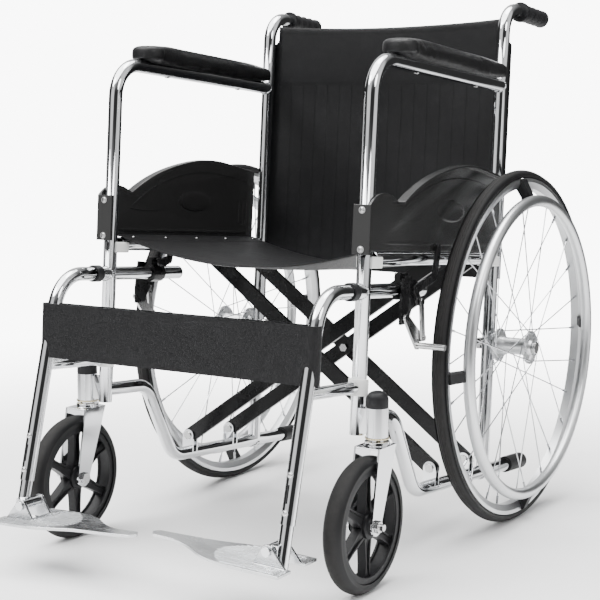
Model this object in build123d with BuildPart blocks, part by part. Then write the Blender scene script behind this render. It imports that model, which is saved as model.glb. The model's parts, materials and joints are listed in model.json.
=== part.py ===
from build123d import *
import os
from math import atan2, cos, degrees, hypot, radians, sin

# Folding steel wheelchair, millimetres. +Z is up, the user faces -Y and +X is the user's left.
# The origin is on the floor under the middle of the chair's overall length.
# Left pieces are modelled and the right ones are their mirror images in the YZ plane.

# ---- driving dimensions ------------------------------------------------------------
FIT = 0.05  # radial clearance of a piece that turns on another
SEAT_GAP = 0.3  # gap under a soft piece and beside a sliding one
WHEEL_R = 297.0  # rear tyre, outer radius
SIDE_X = 235.4  # middle of a side frame's tubes
TILT = 4.3  # the side frames lean back by this angle
TUBE_R = 11.0
TUBE_WALL = 1.5

# side frame: P runs back along the rails and Q up along the posts, from the rear axle
FRONT_P = -445.0
LOWER_Q = -220.0
SHOULDER_Q = -90.0
SHOULDER_P = -338.0
HEEL_P = -257.0
RAIL_Q = 99.0
RAIL_FRONT_P = -486.0
RAIL_BACK_P = -263.0
ARM_Q = 438.5
HANDLE_Q = 571.0
HANDLE_END_P = 156.0
TAIL_P = 150.0
POST_FOOT_Q = -110.0
CANE_BEND = 45.0
ARM_BEND = 55.0
LOWER_BEND = 45.0

# cross brace and seat rails
SEAT_Q = 147.0
PIVOT_Q = -190.0
BRACE_PS = (-200.0, -75.0)
BAR_T = 8.0
BAR_W = 25.0
BAR_GAP = 1.0
PIN_R = 4.0
EAR_T = 3.0
SEAT_RAIL_END_GAP = 10.0

# footrest
LEG_BEND_P = -565.5
LEG_BEND = 60.0
LEG_FOOT_Q = -275.0
LEG_SLOPE = 0.1924
LEG_END_Q = -215.0
SPIGOT_R = 9.4
SPIGOT_L = 105.0
STUB_Q = -40.0
STUB_R = 9.0
PLATE_PIN_Z = 98.0
PLATE_PIN_INSET = 14.0
PLATE_T = 4.5
PLATE_DROP = 20.0
PLATE_RISE = 2.2
PLATE_REACH = 217.0
PLATE_FRONT = 51.0
PLATE_BACK = 50.0
NOSE_L = 42.0
NOSE_W = 26.0
NOSE_LINE = 3.0
NOSE_GAP = 2.4
EAR_IN = SPIGOT_R + 8.2
PLATE_EAR_T = 5.0

# castors
CASTOR_X = 270.4
CASTOR_P = -454.0
CASTOR_R = 100.0
CASTOR_W = 30.0
CASTOR_TRAIL = 36.5
STEM_R = 8.0
BARREL_R = 16.25
BARREL_Z = (222.0, 265.0)
BARREL_CAP_H = 24.0
FORK_TOP_Z = 216.0
FORK_T = 3.0

# rear wheels
WHEEL_X = 287.0
TYRE_W = 25.0
TYRE_H = 13.5
TYRE_BASE = 6.5
RIM_H = 16.0
RIM_W = 24.0
RIM_WALL = 2.0
SPOKES = 28
SPOKE_R = 1.1
SPOKE_CROSS = 3
NIPPLE_L = 13.0
FLANGE_X = (256.2, 312.5)
FLANGE_R = 28.0
FLANGE_T = 3.0
SPOKE_PCD_R = 24.0
HUB_R = 14.0
HUB_X = (250.0, 318.0)
AXLE_R = 6.0
HANDRIM_R = 246.5
HANDRIM_TUBE_R = 9.5
HANDRIM_X = 317.0

# brake, from the rear axle: back and up in a level frame
BRAKE_X = 259.0
BRAKE_T = 4.0
LEVER_PIVOT = (-312.0, 124.0)
LINK_TOP = (-301.0, 105.0)
LINK_FOOT = (-296.0, 49.0)
SHOE_PIVOT = (-341.0, 84.0)
SHOE_ROD = (-304.7, 38.0)
GRIP_POINTS = (-249.0, 139.0), (-237.0, 182.0)
ROD_R = 5.0
RIVET_R = 2.5

# guard, pads and slings
GUARD_X = 247.5
GUARD_T = 4.0
GUARD_LIP = 11.0
GUARD_BASE_Q = 158.5
PAD_P = (-398.0, -14.0)
PAD_W = 50.0
PAD_H = 22.0
GRIP_R = 15.0
TAIL_CAP_R = 14.0
TAIL_CAP_P = (95.0, 168.0)
SLING_T = 3.0
SLING_SAG = 44.0
SEAT_END = 22.0
BACK_Q = (111.0, 520.0, 555.0)
STRAP_W = 83.0
STRAP_Q = 13.5

# ---- derived places ------------------------------------------------------------------
LEAN = radians(TILT)
AXLE_Z = WHEEL_R


def level(p, q):
    """The level (back, up) position from the axle of a point (p, q) of the side frame."""
    return p * cos(LEAN) + q * sin(LEAN), -p * sin(LEAN) + q * cos(LEAN)


def leg_p(q):
    """Where the footrest leg's middle line is at the height q of the side frame."""
    return LEG_BEND_P - LEG_SLOPE * (RAIL_Q - q)


def leg_y_at(z):
    """How far behind the axle (negative: in front) the leg is at the floor height z."""
    rise = z - AXLE_Z
    top_p = LEG_BEND_P - LEG_SLOPE * RAIL_Q
    q = (rise + top_p * sin(LEAN)) / (cos(LEAN) - LEG_SLOPE * sin(LEAN))
    return level(leg_p(q), q)[0]


FRONT_Y = leg_y_at(PLATE_PIN_Z) - PLATE_FRONT
AXLE_Y = -(FRONT_Y + WHEEL_R) / 2
AXLE_AXIS = Axis((0, AXLE_Y, AXLE_Z), (1, 0, 0))
CASTOR_Y = AXLE_Y + CASTOR_P
BRACE_RISE = SEAT_Q - PIVOT_Q
BRACE_L = hypot(2 * SIDE_X, BRACE_RISE)


def side_plane(x):
    """The plane of a side frame: local x is P and local y is Q."""
    return Plane(origin=(x, AXLE_Y, AXLE_Z), x_dir=(0, cos(LEAN), -sin(LEAN)), z_dir=(1, 0, 0))


def cross_plane(p):
    """The plane across the chair at P: local x is the row's X and local y is Q."""
    origin = side_plane(0).from_local_coords((p, 0, 0))
    return Plane(origin=origin, x_dir=(1, 0, 0), z_dir=(0, -cos(LEAN), sin(LEAN)))


def level_plane(x):
    """An upright plane through the rear axle: local x is back and local y is up."""
    return Plane(origin=(x, AXLE_Y, AXLE_Z), x_dir=(0, 1, 0), z_dir=(1, 0, 0))


def at(plane, u, v):
    """The same plane with its origin moved to its local point (u, v)."""
    return Plane(plane.from_local_coords((u, v, 0)), x_dir=plane.x_dir, z_dir=plane.z_dir)


def axle_section():
    """The plane through the rear axle that a wheel's profile is drawn in: X and radius."""
    return Plane(origin=(0, AXLE_Y, AXLE_Z), x_dir=(1, 0, 0), z_dir=(0, -1, 0))


def rod(plane, points, radius, bend=0, mode=Mode.ADD):
    """Sweep a round section along straight runs that arcs of one bend radius join."""
    with BuildLine(plane) as path:
        if bend:
            FilletPolyline(*points, radius=bend)
        else:
            Line(*points)
    with BuildSketch(Plane(origin=path.line @ 0, z_dir=path.line % 0)) as section:
        Circle(radius)
    sweep(sections=section.sketch, path=path.line, mode=mode)


def ring(plane, low, high, outer, inner):
    """A plain ring about the plane's own normal, between two heights."""
    with BuildSketch(plane.offset(low)) as face:
        Circle(outer)
        Circle(inner, mode=Mode.SUBTRACT)
    extrude(face.sketch, amount=high - low)


def disc(plane, low, high, radius, mode=Mode.ADD):
    """A plain disc about the plane's own normal, between two heights."""
    with BuildSketch(plane.offset(low)) as face:
        Circle(radius)
    extrude(face.sketch, amount=high - low, mode=mode)


def dome(section, radius, height, round_r, bore=0, bore_h=0):
    """A cap turned about the section's local y, round at its far end and bored from its near one."""
    with BuildSketch(section) as profile:
        with BuildLine():
            Polyline((bore, 0), (radius, 0), (radius, height - round_r))
            RadiusArc((radius, height - round_r), (radius - round_r, height), -round_r)
            inside = [(0, bore_h), (bore, bore_h), (bore, 0)] if bore else [(0, 0)]
            Polyline((radius - round_r, height), (0, height), *inside)
        make_face()
    revolve(profile.sketch, axis=Axis(section.origin, section.y_dir))


# ---- side frame ------------------------------------------------------------------------
CANE_RUN = ((0, LOWER_Q), (0, HANDLE_Q), (HANDLE_END_P, HANDLE_Q))
ARM_RUN = ((FRONT_P, POST_FOOT_Q), (FRONT_P, ARM_Q), (0, ARM_Q))
LOWER_RUN = ((FRONT_P, SHOULDER_Q), (SHOULDER_P, SHOULDER_Q), (HEEL_P, LOWER_Q), (TAIL_P, LOWER_Q))
RAIL_RUN = ((RAIL_FRONT_P, RAIL_Q), (RAIL_BACK_P, RAIL_Q))
TUBE_RUNS = ((CANE_RUN, CANE_BEND), (ARM_RUN, ARM_BEND), (LOWER_RUN, LOWER_BEND), (RAIL_RUN, 0))


def foot_places(side):
    """Where along P the brace bars that stand on this side's lower rail are."""
    return [p + side * (BAR_T + BAR_GAP) / 2 for p in BRACE_PS]


def ear_places(side):
    """The front face of every bracket ear of a side, along P."""
    reach = (BAR_T + BAR_GAP) / 2
    return [face for p in foot_places(side) for face in (p - reach - EAR_T, p + reach)]


def side_frame(side):
    """The welded tube frame of one side, with its castor barrel and brace brackets."""
    barrel = at(Plane.XY, CASTOR_X, CASTOR_Y)
    with BuildPart() as frame:
        for run, bend in TUBE_RUNS:
            rod(side_plane(SIDE_X), run, TUBE_R, bend)
        disc(barrel, *BARREL_Z, BARREL_R)
        with BuildSketch(Plane.XY.offset(BARREL_Z[0] + 3)) as web:
            with Locations(((SIDE_X + CASTOR_X) / 2, CASTOR_Y + 2)):
                Rectangle(CASTOR_X - SIDE_X, 14)
        extrude(web.sketch, amount=BARREL_Z[1] - BARREL_Z[0] - 6)
        for p in ear_places(side):
            with BuildSketch(cross_plane(p)) as ear:
                with Locations((SIDE_X, PIVOT_Q)):
                    Circle(TUBE_R)
                with Locations((SIDE_X, (PIVOT_Q + LOWER_Q) / 2)):
                    Rectangle(2 * TUBE_R, PIVOT_Q - LOWER_Q)
                with Locations((SIDE_X, PIVOT_Q)):
                    Circle(PIN_R, mode=Mode.SUBTRACT)
            extrude(ear.sketch, amount=-EAR_T)
        for run, bend in TUBE_RUNS:
            rod(side_plane(SIDE_X), run, TUBE_R - TUBE_WALL, bend, Mode.SUBTRACT)
        disc(barrel, BARREL_Z[0], BARREL_Z[1], STEM_R + FIT, Mode.SUBTRACT)
        disc(level_plane(SIDE_X - 2 * TUBE_R), 0, 4 * TUBE_R, AXLE_R, Mode.SUBTRACT)
    return frame.part


def frame_caps():
    """The black plastic ring on the rail's mouth, the rail's end plug and the barrel's cap."""
    plug = Plane(side_plane(SIDE_X).from_local_coords((RAIL_BACK_P, RAIL_Q, 0)),
                 x_dir=(1, 0, 0), z_dir=(0, cos(LEAN), -sin(LEAN)))
    mouth = Plane(side_plane(SIDE_X).from_local_coords((RAIL_FRONT_P, RAIL_Q, 0)),
                  x_dir=(1, 0, 0), z_dir=(0, cos(LEAN), -sin(LEAN)))
    barrel = at(Plane.XY, CASTOR_X, CASTOR_Y)
    with BuildPart() as caps:
        disc(plug, 0, 3, TUBE_R)
        disc(plug, -12, 0, TUBE_R - TUBE_WALL - FIT)
        ring(mouth, -2, 14, TUBE_R + 2.5, TUBE_R + FIT)
        dome(Plane(barrel.origin + Vector(0, 0, BARREL_Z[1]), x_dir=(1, 0, 0), z_dir=(0, -1, 0)),
             BARREL_R, BARREL_CAP_H, 12)
    return caps.part


def saddle(face_p, back, q):
    """A nylon cradle on a post, which a seat rail's end lies in."""
    with BuildSketch(cross_plane(face_p)) as block:
        with Locations((SIDE_X, q - TUBE_R / 2)):
            RectangleRounded(2 * TUBE_R + 5, TUBE_R + 6, 2)
    extrude(block.sketch, amount=-back)


def nylon_saddles():
    """The two cradles of a seat rail and the shell that the footrest's stub rests with."""
    with BuildPart() as saddles:
        for post_p, way in ((FRONT_P, 1), (0, -1)):
            saddle(post_p, way * (TUBE_R + SEAT_RAIL_END_GAP + 10), SEAT_Q)
            rod(side_plane(SIDE_X), ((post_p, SEAT_Q - 40), (post_p, SEAT_Q + 40)),
                TUBE_R + FIT, mode=Mode.SUBTRACT)
        rod(side_plane(SIDE_X), ((FRONT_P + TUBE_R + 4, SEAT_Q), (-TUBE_R - 4, SEAT_Q)),
            TUBE_R + SEAT_GAP, mode=Mode.SUBTRACT)
        collar = side_plane(SIDE_X).from_local_coords((FRONT_P, STUB_Q, 0))
        up = Plane(collar, x_dir=(1, 0, 0), z_dir=(0, sin(LEAN), cos(LEAN)))
        with BuildSketch(up.offset(-12)) as shell:
            Circle(TUBE_R + 5)
            Circle(TUBE_R + FIT, mode=Mode.SUBTRACT)
            with Locations((0, TUBE_R + 3)):
                Rectangle(4 * TUBE_R, 2 * TUBE_R + 6, mode=Mode.SUBTRACT)
        extrude(shell.sketch, amount=24)
    return saddles.part


# ---- footrest --------------------------------------------------------------------------
def leg_direction():
    """The unit direction of the footrest leg's straight part, from its bend to its foot."""
    top = side_plane(0).from_local_coords((LEG_BEND_P, RAIL_Q, 0))
    foot = side_plane(0).from_local_coords((leg_p(LEG_FOOT_Q), LEG_FOOT_Q, 0))
    return (foot - top).normalized()


def footrest_hanger():
    """The bent leg tube, its spigot inside the rail and the stub to the front post."""
    run = ((RAIL_FRONT_P - 2, RAIL_Q), (LEG_BEND_P, RAIL_Q), (leg_p(LEG_END_Q), LEG_END_Q))
    with BuildPart() as hanger:
        rod(side_plane(SIDE_X), run, TUBE_R, LEG_BEND)
        rod(side_plane(SIDE_X), ((leg_p(STUB_Q), STUB_Q), (FRONT_P - TUBE_R - 5, STUB_Q)), STUB_R)
        spigot = ((RAIL_FRONT_P + SPIGOT_L, RAIL_Q), (RAIL_FRONT_P - 14, RAIL_Q))
        rod(side_plane(SIDE_X), spigot, SPIGOT_R)
        rod(side_plane(SIDE_X), spigot, SPIGOT_R - TUBE_WALL, mode=Mode.SUBTRACT)
        rod(side_plane(SIDE_X), ((RAIL_FRONT_P - 12, RAIL_Q), *run[1:]), TUBE_R - TUBE_WALL, LEG_BEND,
            Mode.SUBTRACT)
    return hanger.part


def plate_pin_plane():
    """The plane across the chair in front of the footplate's pin: local x is inward."""
    return Plane(origin=(SIDE_X - PLATE_PIN_INSET, AXLE_Y + leg_y_at(PLATE_PIN_Z), PLATE_PIN_Z),
                 x_dir=(-1, 0, 0), z_dir=(0, 1, 0))


def footplate_post():
    """The tube that slides in the leg, with the lug and pin that the footplate turns on."""
    run = ((leg_p(LEG_END_Q + 80), LEG_END_Q + 80), (leg_p(LEG_FOOT_Q), LEG_FOOT_Q))
    reach = EAR_IN + PLATE_EAR_T
    with BuildPart() as post:
        rod(side_plane(SIDE_X), run, SPIGOT_R)
        with BuildSketch(plate_pin_plane().offset(-EAR_IN + 0.5)) as lug:
            Circle(8)
            with Locations((-PLATE_PIN_INSET / 2, 0)):
                Rectangle(PLATE_PIN_INSET, 16)
        extrude(lug.sketch, amount=2 * EAR_IN - 1)
        disc(plate_pin_plane(), -reach - 1, reach + 1, PIN_R)
        for low in (-reach - 3.5, reach + 0.5):
            disc(plate_pin_plane(), low, low + 3, PIN_R + 3)
        rod(side_plane(SIDE_X), run, SPIGOT_R - TUBE_WALL, mode=Mode.SUBTRACT)
    return post.part


def footplate(side):
    """The cast plate with its two ears. The two plates' noses pass each other as they rise."""
    pin = plate_pin_plane()
    slope = radians(PLATE_RISE)
    top = Plane(pin.origin, x_dir=(-cos(slope), 0, sin(slope)), z_dir=(sin(slope), 0, cos(slope)))
    inner = NOSE_LINE - side * NOSE_GAP / 2
    outer = inner - side * NOSE_W
    nose = (max(inner, outer), min(inner, outer))
    taper = (0, 4) if side > 0 else (4, 0)
    neck = PLATE_REACH - NOSE_L
    waist = neck * 0.62
    tip = (PLATE_REACH - 8, nose[0] - taper[0]), (PLATE_REACH - 8, nose[1] + taper[1])
    with BuildPart() as plate:
        with BuildSketch(top.offset(-PLATE_DROP - PLATE_T)) as outline:
            with BuildLine():
                Polyline((30, PLATE_FRONT), (-37, PLATE_FRONT), (-37, -PLATE_BACK), (30, -PLATE_BACK))
                Spline((30, -PLATE_BACK), (waist, -0.62 * PLATE_BACK + 0.1 * nose[1]),
                       (neck, nose[1]), tangents=[(1, 0), (1, 0.1)])
                Polyline((neck, nose[1]), tip[1], (PLATE_REACH, sum(nose) / 2), tip[0], (neck, nose[0]))
                Spline((neck, nose[0]), (waist, 0.62 * PLATE_FRONT + 0.1 * nose[0]), (30, PLATE_FRONT),
                       tangents=[(-1, 0.1), (-1, 0)])
            make_face()
            with Locations((-14, 0)):
                Rectangle(52, 2 * EAR_IN, mode=Mode.SUBTRACT)
        extrude(outline.sketch, amount=PLATE_T)
        for low in (-EAR_IN - PLATE_EAR_T, EAR_IN):
            with BuildSketch(pin.offset(low)) as ear:
                with BuildLine():
                    Polyline((-30, -PLATE_DROP - 3), (24, -PLATE_DROP - 2), (9, 3), (-9, 3),
                             (-30, -PLATE_DROP - 3))
                make_face()
                Circle(9.5)
                Circle(PIN_R + FIT, mode=Mode.SUBTRACT)
            extrude(ear.sketch, amount=PLATE_EAR_T)
    return plate.part


# ---- castors ---------------------------------------------------------------------------
WHEEL_Y = CASTOR_Y - CASTOR_TRAIL
CASTOR_AXIS = Axis((0, WHEEL_Y, CASTOR_R), (1, 0, 0))
CASTOR_HUB_X = 17.0
CASTOR_RIM_R = 84.0
CASTOR_AXLE_R = 5.0


def castor_section():
    """The plane through the castor wheel's middle that its profile is drawn in."""
    return Plane(origin=(CASTOR_X, WHEEL_Y, CASTOR_R), x_dir=(1, 0, 0), z_dir=(0, -1, 0))


def castor_plane(x):
    """The upright plane at x through the castor wheel's axis."""
    return Plane(origin=(x, WHEEL_Y, CASTOR_R), x_dir=(0, 1, 0), z_dir=(1, 0, 0))


def castor_tyre():
    """The solid grey-black tyre, with a rounded tread."""
    half = CASTOR_W / 2
    with BuildPart() as tyre:
        with BuildSketch(castor_section()):
            with BuildLine():
                Polyline((half, CASTOR_R - 9), (half, CASTOR_RIM_R), (-half, CASTOR_RIM_R),
                         (-half, CASTOR_R - 9))
                ThreePointArc((-half, CASTOR_R - 9), (0, CASTOR_R), (half, CASTOR_R - 9))
            make_face()
        revolve(axis=CASTOR_AXIS)
    return tyre.part


def castor_wheel():
    """The moulded wheel centre: rim, hub and six tapered spokes."""
    with BuildPart() as wheel:
        ring(castor_plane(CASTOR_X), -13, 13, CASTOR_RIM_R - FIT, CASTOR_RIM_R - 10)
        ring(castor_plane(CASTOR_X), -CASTOR_HUB_X, CASTOR_HUB_X, 20, CASTOR_AXLE_R + FIT)
        with BuildSketch(castor_plane(CASTOR_X).offset(-7)) as spokes:
            with PolarLocations(0, 6, start_angle=30):
                with BuildLine():
                    Polyline((17, 11), (CASTOR_RIM_R - 8, 6.5), (CASTOR_RIM_R - 8, -6.5), (17, -11),
                             (17, 11))
                make_face()
        extrude(spokes.sketch, amount=14)
    return wheel.part


def castor_fork():
    """The pressed fork, its crown and the stem in the frame's barrel."""
    leg_in = CASTOR_HUB_X + 1
    base = at(Plane.XY, CASTOR_X, CASTOR_Y)
    crown_z = FORK_TOP_Z - 5
    with BuildPart() as fork:
        for low in (-leg_in - FORK_T, leg_in):
            with BuildSketch(level_castor(CASTOR_X + low)) as leg:
                with BuildLine():
                    Polyline((WHEEL_Y - 14, CASTOR_R), (CASTOR_Y - 30, crown_z), (CASTOR_Y + 20, crown_z),
                             (WHEEL_Y + 14, CASTOR_R), (WHEEL_Y - 14, CASTOR_R))
                make_face()
                with Locations((WHEEL_Y, CASTOR_R)):
                    Circle(14)
                    Circle(CASTOR_AXLE_R + FIT, mode=Mode.SUBTRACT)
            extrude(leg.sketch, amount=FORK_T)
        with BuildSketch(Plane.XY.offset(crown_z - FORK_T)) as crown:
            with Locations((CASTOR_X, CASTOR_Y - 5)):
                Rectangle(2 * (leg_in + FORK_T), 50)
        extrude(crown.sketch, amount=FORK_T)
        disc(base, crown_z, FORK_TOP_Z, BARREL_R + 2)
        disc(base, FORK_TOP_Z, BARREL_Z[0] - 0.5, STEM_R + 4)
        disc(base, FORK_TOP_Z, BARREL_Z[1] - 1, STEM_R)
    return fork.part


def level_castor(x):
    """An upright plane at x: local x is the row's Y and local y is Z."""
    return Plane(origin=(x, 0, 0), x_dir=(0, 1, 0), z_dir=(1, 0, 0))


def castor_axle():
    """The castor's axle bolt with a nut on each end."""
    outer = CASTOR_HUB_X + 1 + FORK_T
    with BuildPart() as axle:
        disc(castor_plane(CASTOR_X), -outer - 5, outer + 12, CASTOR_AXLE_R)
        for low in (-outer - 5.5, outer + 0.5):
            with BuildSketch(castor_plane(CASTOR_X + low)) as nut:
                RegularPolygon(9.5, 6)
            extrude(nut.sketch, amount=5)
    return axle.part


# ---- rear wheels -----------------------------------------------------------------------
TYRE_SEAT_R = WHEEL_R - TYRE_H
RIM_FLOOR_R = TYRE_SEAT_R - RIM_H + RIM_WALL


def rear_tyre():
    """The tyre: its base sits between the rim's flanges and its tread is round."""
    seat = RIM_W / 2 - RIM_WALL - FIT
    half = TYRE_W / 2
    low = TYRE_SEAT_R + 0.3
    with BuildPart() as tyre:
        with BuildSketch(axle_section()):
            with BuildLine():
                Polyline((WHEEL_X + half, low + 3), (WHEEL_X + half - 1.5, low), (WHEEL_X + seat, low),
                         (WHEEL_X + seat, low - TYRE_BASE), (WHEEL_X - seat, low - TYRE_BASE),
                         (WHEEL_X - seat, low), (WHEEL_X - half + 1.5, low), (WHEEL_X - half, low + 3))
                ThreePointArc((WHEEL_X - half, low + 3), (WHEEL_X, WHEEL_R), (WHEEL_X + half, low + 3))
            make_face()
        revolve(axis=AXLE_AXIS)
    return tyre.part


def rear_rim():
    """The wheel's rim, a channel that is open to the tyre."""
    half = RIM_W / 2
    inside = half - RIM_WALL
    with BuildPart() as rim:
        with BuildSketch(axle_section()):
            with BuildLine():
                Polyline((WHEEL_X - half, TYRE_SEAT_R), (WHEEL_X - half, TYRE_SEAT_R - 6),
                         (WHEEL_X - half + 5, RIM_FLOOR_R - RIM_WALL),
                         (WHEEL_X + half - 5, RIM_FLOOR_R - RIM_WALL),
                         (WHEEL_X + half, TYRE_SEAT_R - 6), (WHEEL_X + half, TYRE_SEAT_R),
                         (WHEEL_X + inside, TYRE_SEAT_R), (WHEEL_X + inside, TYRE_SEAT_R - 6.8),
                         (WHEEL_X + half - 5.8, RIM_FLOOR_R), (WHEEL_X - half + 5.8, RIM_FLOOR_R),
                         (WHEEL_X - inside, TYRE_SEAT_R - 6.8), (WHEEL_X - inside, TYRE_SEAT_R),
                         (WHEEL_X - half, TYRE_SEAT_R))
            make_face()
        revolve(axis=AXLE_AXIS)
    return rim.part


def spoke_ends(number):
    """The places of a spoke's head in its flange, its elbow beside the flange and its rim end."""
    step = 360 / SPOKES
    flange_x = FLANGE_X[number % 2]
    trailing = 1 if number % 4 < 2 else -1
    rim_angle = radians(number * step)
    hub_angle = rim_angle + radians(trailing * SPOKE_CROSS * 2 * step)
    rim_x = WHEEL_X + (3 if number % 2 else -3)
    rim_r = RIM_FLOOR_R - RIM_WALL - 0.4
    hub_y = AXLE_Y + SPOKE_PCD_R * cos(hub_angle)
    hub_z = AXLE_Z + SPOKE_PCD_R * sin(hub_angle)
    head = Vector(flange_x - trailing * (FLANGE_T / 2 + 0.9), hub_y, hub_z)
    elbow = Vector(flange_x + trailing * (FLANGE_T / 2 + SPOKE_R + 1.6), hub_y, hub_z)
    rim = Vector(rim_x, AXLE_Y + rim_r * cos(rim_angle), AXLE_Z + rim_r * sin(rim_angle))
    return head, elbow, rim


def spoke(number):
    """One steel spoke: a headed wire with an elbow through the flange, and its nipple."""
    head, elbow, rim = spoke_ends(number)
    along = (rim - elbow).normalized()
    with BuildPart() as wire:
        with BuildLine() as path:
            FilletPolyline(head, elbow, rim, radius=1.3)
        with BuildSketch(Plane(path.line @ 0, z_dir=path.line % 0)) as section:
            Circle(SPOKE_R)
        sweep(sections=section.sketch, path=path.line)
        disc(Plane(head, z_dir=head - elbow), -0.6, 0.6, 2 * SPOKE_R)
        disc(Plane(rim, z_dir=along), -NIPPLE_L, 0, 2 * SPOKE_R)
    return wire.part.solid()


def rear_spokes():
    """The crossed spokes: four kinds, each repeated round the axle."""
    repeats = SPOKES // 4
    kinds = [spoke(number) for number in range(4)]
    return Part([kind.rotate(AXLE_AXIS, 360 / repeats * turn) for kind in kinds for turn in range(repeats)])


def rear_hub():
    """The spool hub, with a hole in its flanges for every spoke."""
    with BuildPart() as hub:
        with BuildSketch(axle_section()):
            with BuildLine():
                Polyline((HUB_X[0], AXLE_R + FIT), (HUB_X[0], HUB_R - 3),
                         (FLANGE_X[0] - FLANGE_T / 2, HUB_R),
                         (FLANGE_X[0] - FLANGE_T / 2, FLANGE_R), (FLANGE_X[0] + FLANGE_T / 2, FLANGE_R),
                         (FLANGE_X[0] + FLANGE_T / 2, HUB_R + 2), (FLANGE_X[0] + 14, HUB_R),
                         (FLANGE_X[1] - 14, HUB_R), (FLANGE_X[1] - FLANGE_T / 2, HUB_R + 2),
                         (FLANGE_X[1] - FLANGE_T / 2, FLANGE_R), (FLANGE_X[1] + FLANGE_T / 2, FLANGE_R),
                         (FLANGE_X[1] + FLANGE_T / 2, HUB_R), (HUB_X[1], HUB_R - 2),
                         (HUB_X[1], AXLE_R + FIT), (HUB_X[0], AXLE_R + FIT))
            make_face()
        revolve(axis=AXLE_AXIS)
        for number in range(SPOKES):
            head = spoke_ends(number)[0]
            hole = Plane(origin=(FLANGE_X[number % 2], head.Y, head.Z), z_dir=(1, 0, 0))
            disc(hole, -FLANGE_T, FLANGE_T, SPOKE_R + FIT, Mode.SUBTRACT)
    return hub.part


def rear_axle():
    """The axle bolt through the cane, its head, washer and inner nut."""
    inner = SIDE_X - TUBE_R
    with BuildPart() as axle:
        disc(level_plane(0), inner - 11, HUB_X[1] + 1, AXLE_R - 0.02)
        disc(level_plane(0), HUB_X[1] + 0.5, HUB_X[1] + 6.5, AXLE_R + 4)
        with BuildSketch(level_plane(inner - 8)) as nut:
            RegularPolygon(10.5, 6)
        extrude(nut.sketch, amount=7.5)
        ring(level_plane(0), SIDE_X + TUBE_R + 0.2, HUB_X[0] - 0.3, AXLE_R + 4, AXLE_R - 1)
    return axle.part


def handrim():
    """The ring that the user pushes."""
    with BuildPart() as rim:
        with BuildSketch(axle_section()):
            with Locations((HANDRIM_X, HANDRIM_R)):
                Circle(HANDRIM_TUBE_R)
        revolve(axis=AXLE_AXIS)
    return rim.part


def handrim_spacers():
    """Four slanted blocks that hold the handrim to the wheel's rim."""
    rim_side = WHEEL_X + RIM_W / 2 + 0.3
    under = RIM_FLOOR_R - RIM_WALL - 0.4
    with BuildPart() as spacers:
        for turn in range(4):
            angle = radians(90 * turn + 3)
            radial = Vector(0, cos(angle), sin(angle))
            section = Plane(origin=(0, AXLE_Y, AXLE_Z), x_dir=(1, 0, 0),
                            z_dir=Vector(1, 0, 0).cross(radial))
            with BuildSketch(section.offset(-8)) as block:
                with BuildLine():
                    Polyline((rim_side, TYRE_SEAT_R - 1), (rim_side, TYRE_SEAT_R - 6),
                             (WHEEL_X + RIM_W / 2 - 4.9, under), (WHEEL_X + 4, under),
                             (HANDRIM_X - 11, HANDRIM_R - 4),
                             (HANDRIM_X, HANDRIM_R), (HANDRIM_X - 2, HANDRIM_R + 11),
                             (rim_side + 4, TYRE_SEAT_R - 1), (rim_side, TYRE_SEAT_R - 1))
                make_face()
            extrude(block.sketch, amount=16)
        with BuildSketch(axle_section()) as tube:
            with Locations((HANDRIM_X, HANDRIM_R)):
                Circle(HANDRIM_TUBE_R + FIT)
        revolve(tube.sketch, axis=AXLE_AXIS, mode=Mode.SUBTRACT)
    return spacers.part


# ---- brakes ----------------------------------------------------------------------------
LEVER_X = BRAKE_X - BRAKE_T - 1
LINK_X = BRAKE_X
SHOE_X = LEVER_X
CHEEK_X = LEVER_X - BRAKE_T - 1.5


def brake_clamp():
    """The band on the rail, the plate that carries both pivots and the clamp's bolt."""
    p, q = RAIL_BACK_P - 65, RAIL_Q
    band = Plane(side_plane(SIDE_X).from_local_coords((p, q, 0)),
                 x_dir=(1, 0, 0), z_dir=(0, cos(LEAN), -sin(LEAN)))
    with BuildPart() as clamp:
        ring(band, -14, 14, TUBE_R + 4, TUBE_R + FIT)
        with BuildSketch(level_plane(CHEEK_X)) as cheek:
            with BuildLine():
                Polyline((LEVER_PIVOT[0] - 30, LEVER_PIVOT[1] + 20),
                         (LEVER_PIVOT[0] + 8, LEVER_PIVOT[1] + 14),
                         (LEVER_PIVOT[0] + 8, LEVER_PIVOT[1] - 12), (SHOE_PIVOT[0] + 12, SHOE_PIVOT[1] - 10),
                         (SHOE_PIVOT[0] - 10, SHOE_PIVOT[1] - 10), (SHOE_PIVOT[0] - 10, SHOE_PIVOT[1] + 14),
                         (LEVER_PIVOT[0] - 30, LEVER_PIVOT[1] + 20))
            make_face()
        extrude(cheek.sketch, amount=BRAKE_T)
        for pivot in (LEVER_PIVOT, SHOE_PIVOT):
            pin = at(level_plane(CHEEK_X), *pivot)
            disc(pin, 0, LEVER_X + BRAKE_T - CHEEK_X + 1, RIVET_R)
            disc(pin, LEVER_X + BRAKE_T - CHEEK_X + 0.3, LEVER_X + BRAKE_T - CHEEK_X + 2.3, RIVET_R + 2)
        bolt = at(level_plane(SIDE_X), *level(p, q + TUBE_R + 8))
        disc(bolt, -6, 16, 3)
        with BuildSketch(bolt.offset(-10)) as head:
            RegularPolygon(6, 6)
        extrude(head.sketch, amount=5)
        with BuildSketch(band.offset(-14)) as lug:
            with Locations((0, -TUBE_R - 8)):
                Rectangle(10, 14)
        extrude(lug.sketch, amount=28)
    return clamp.part


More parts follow.
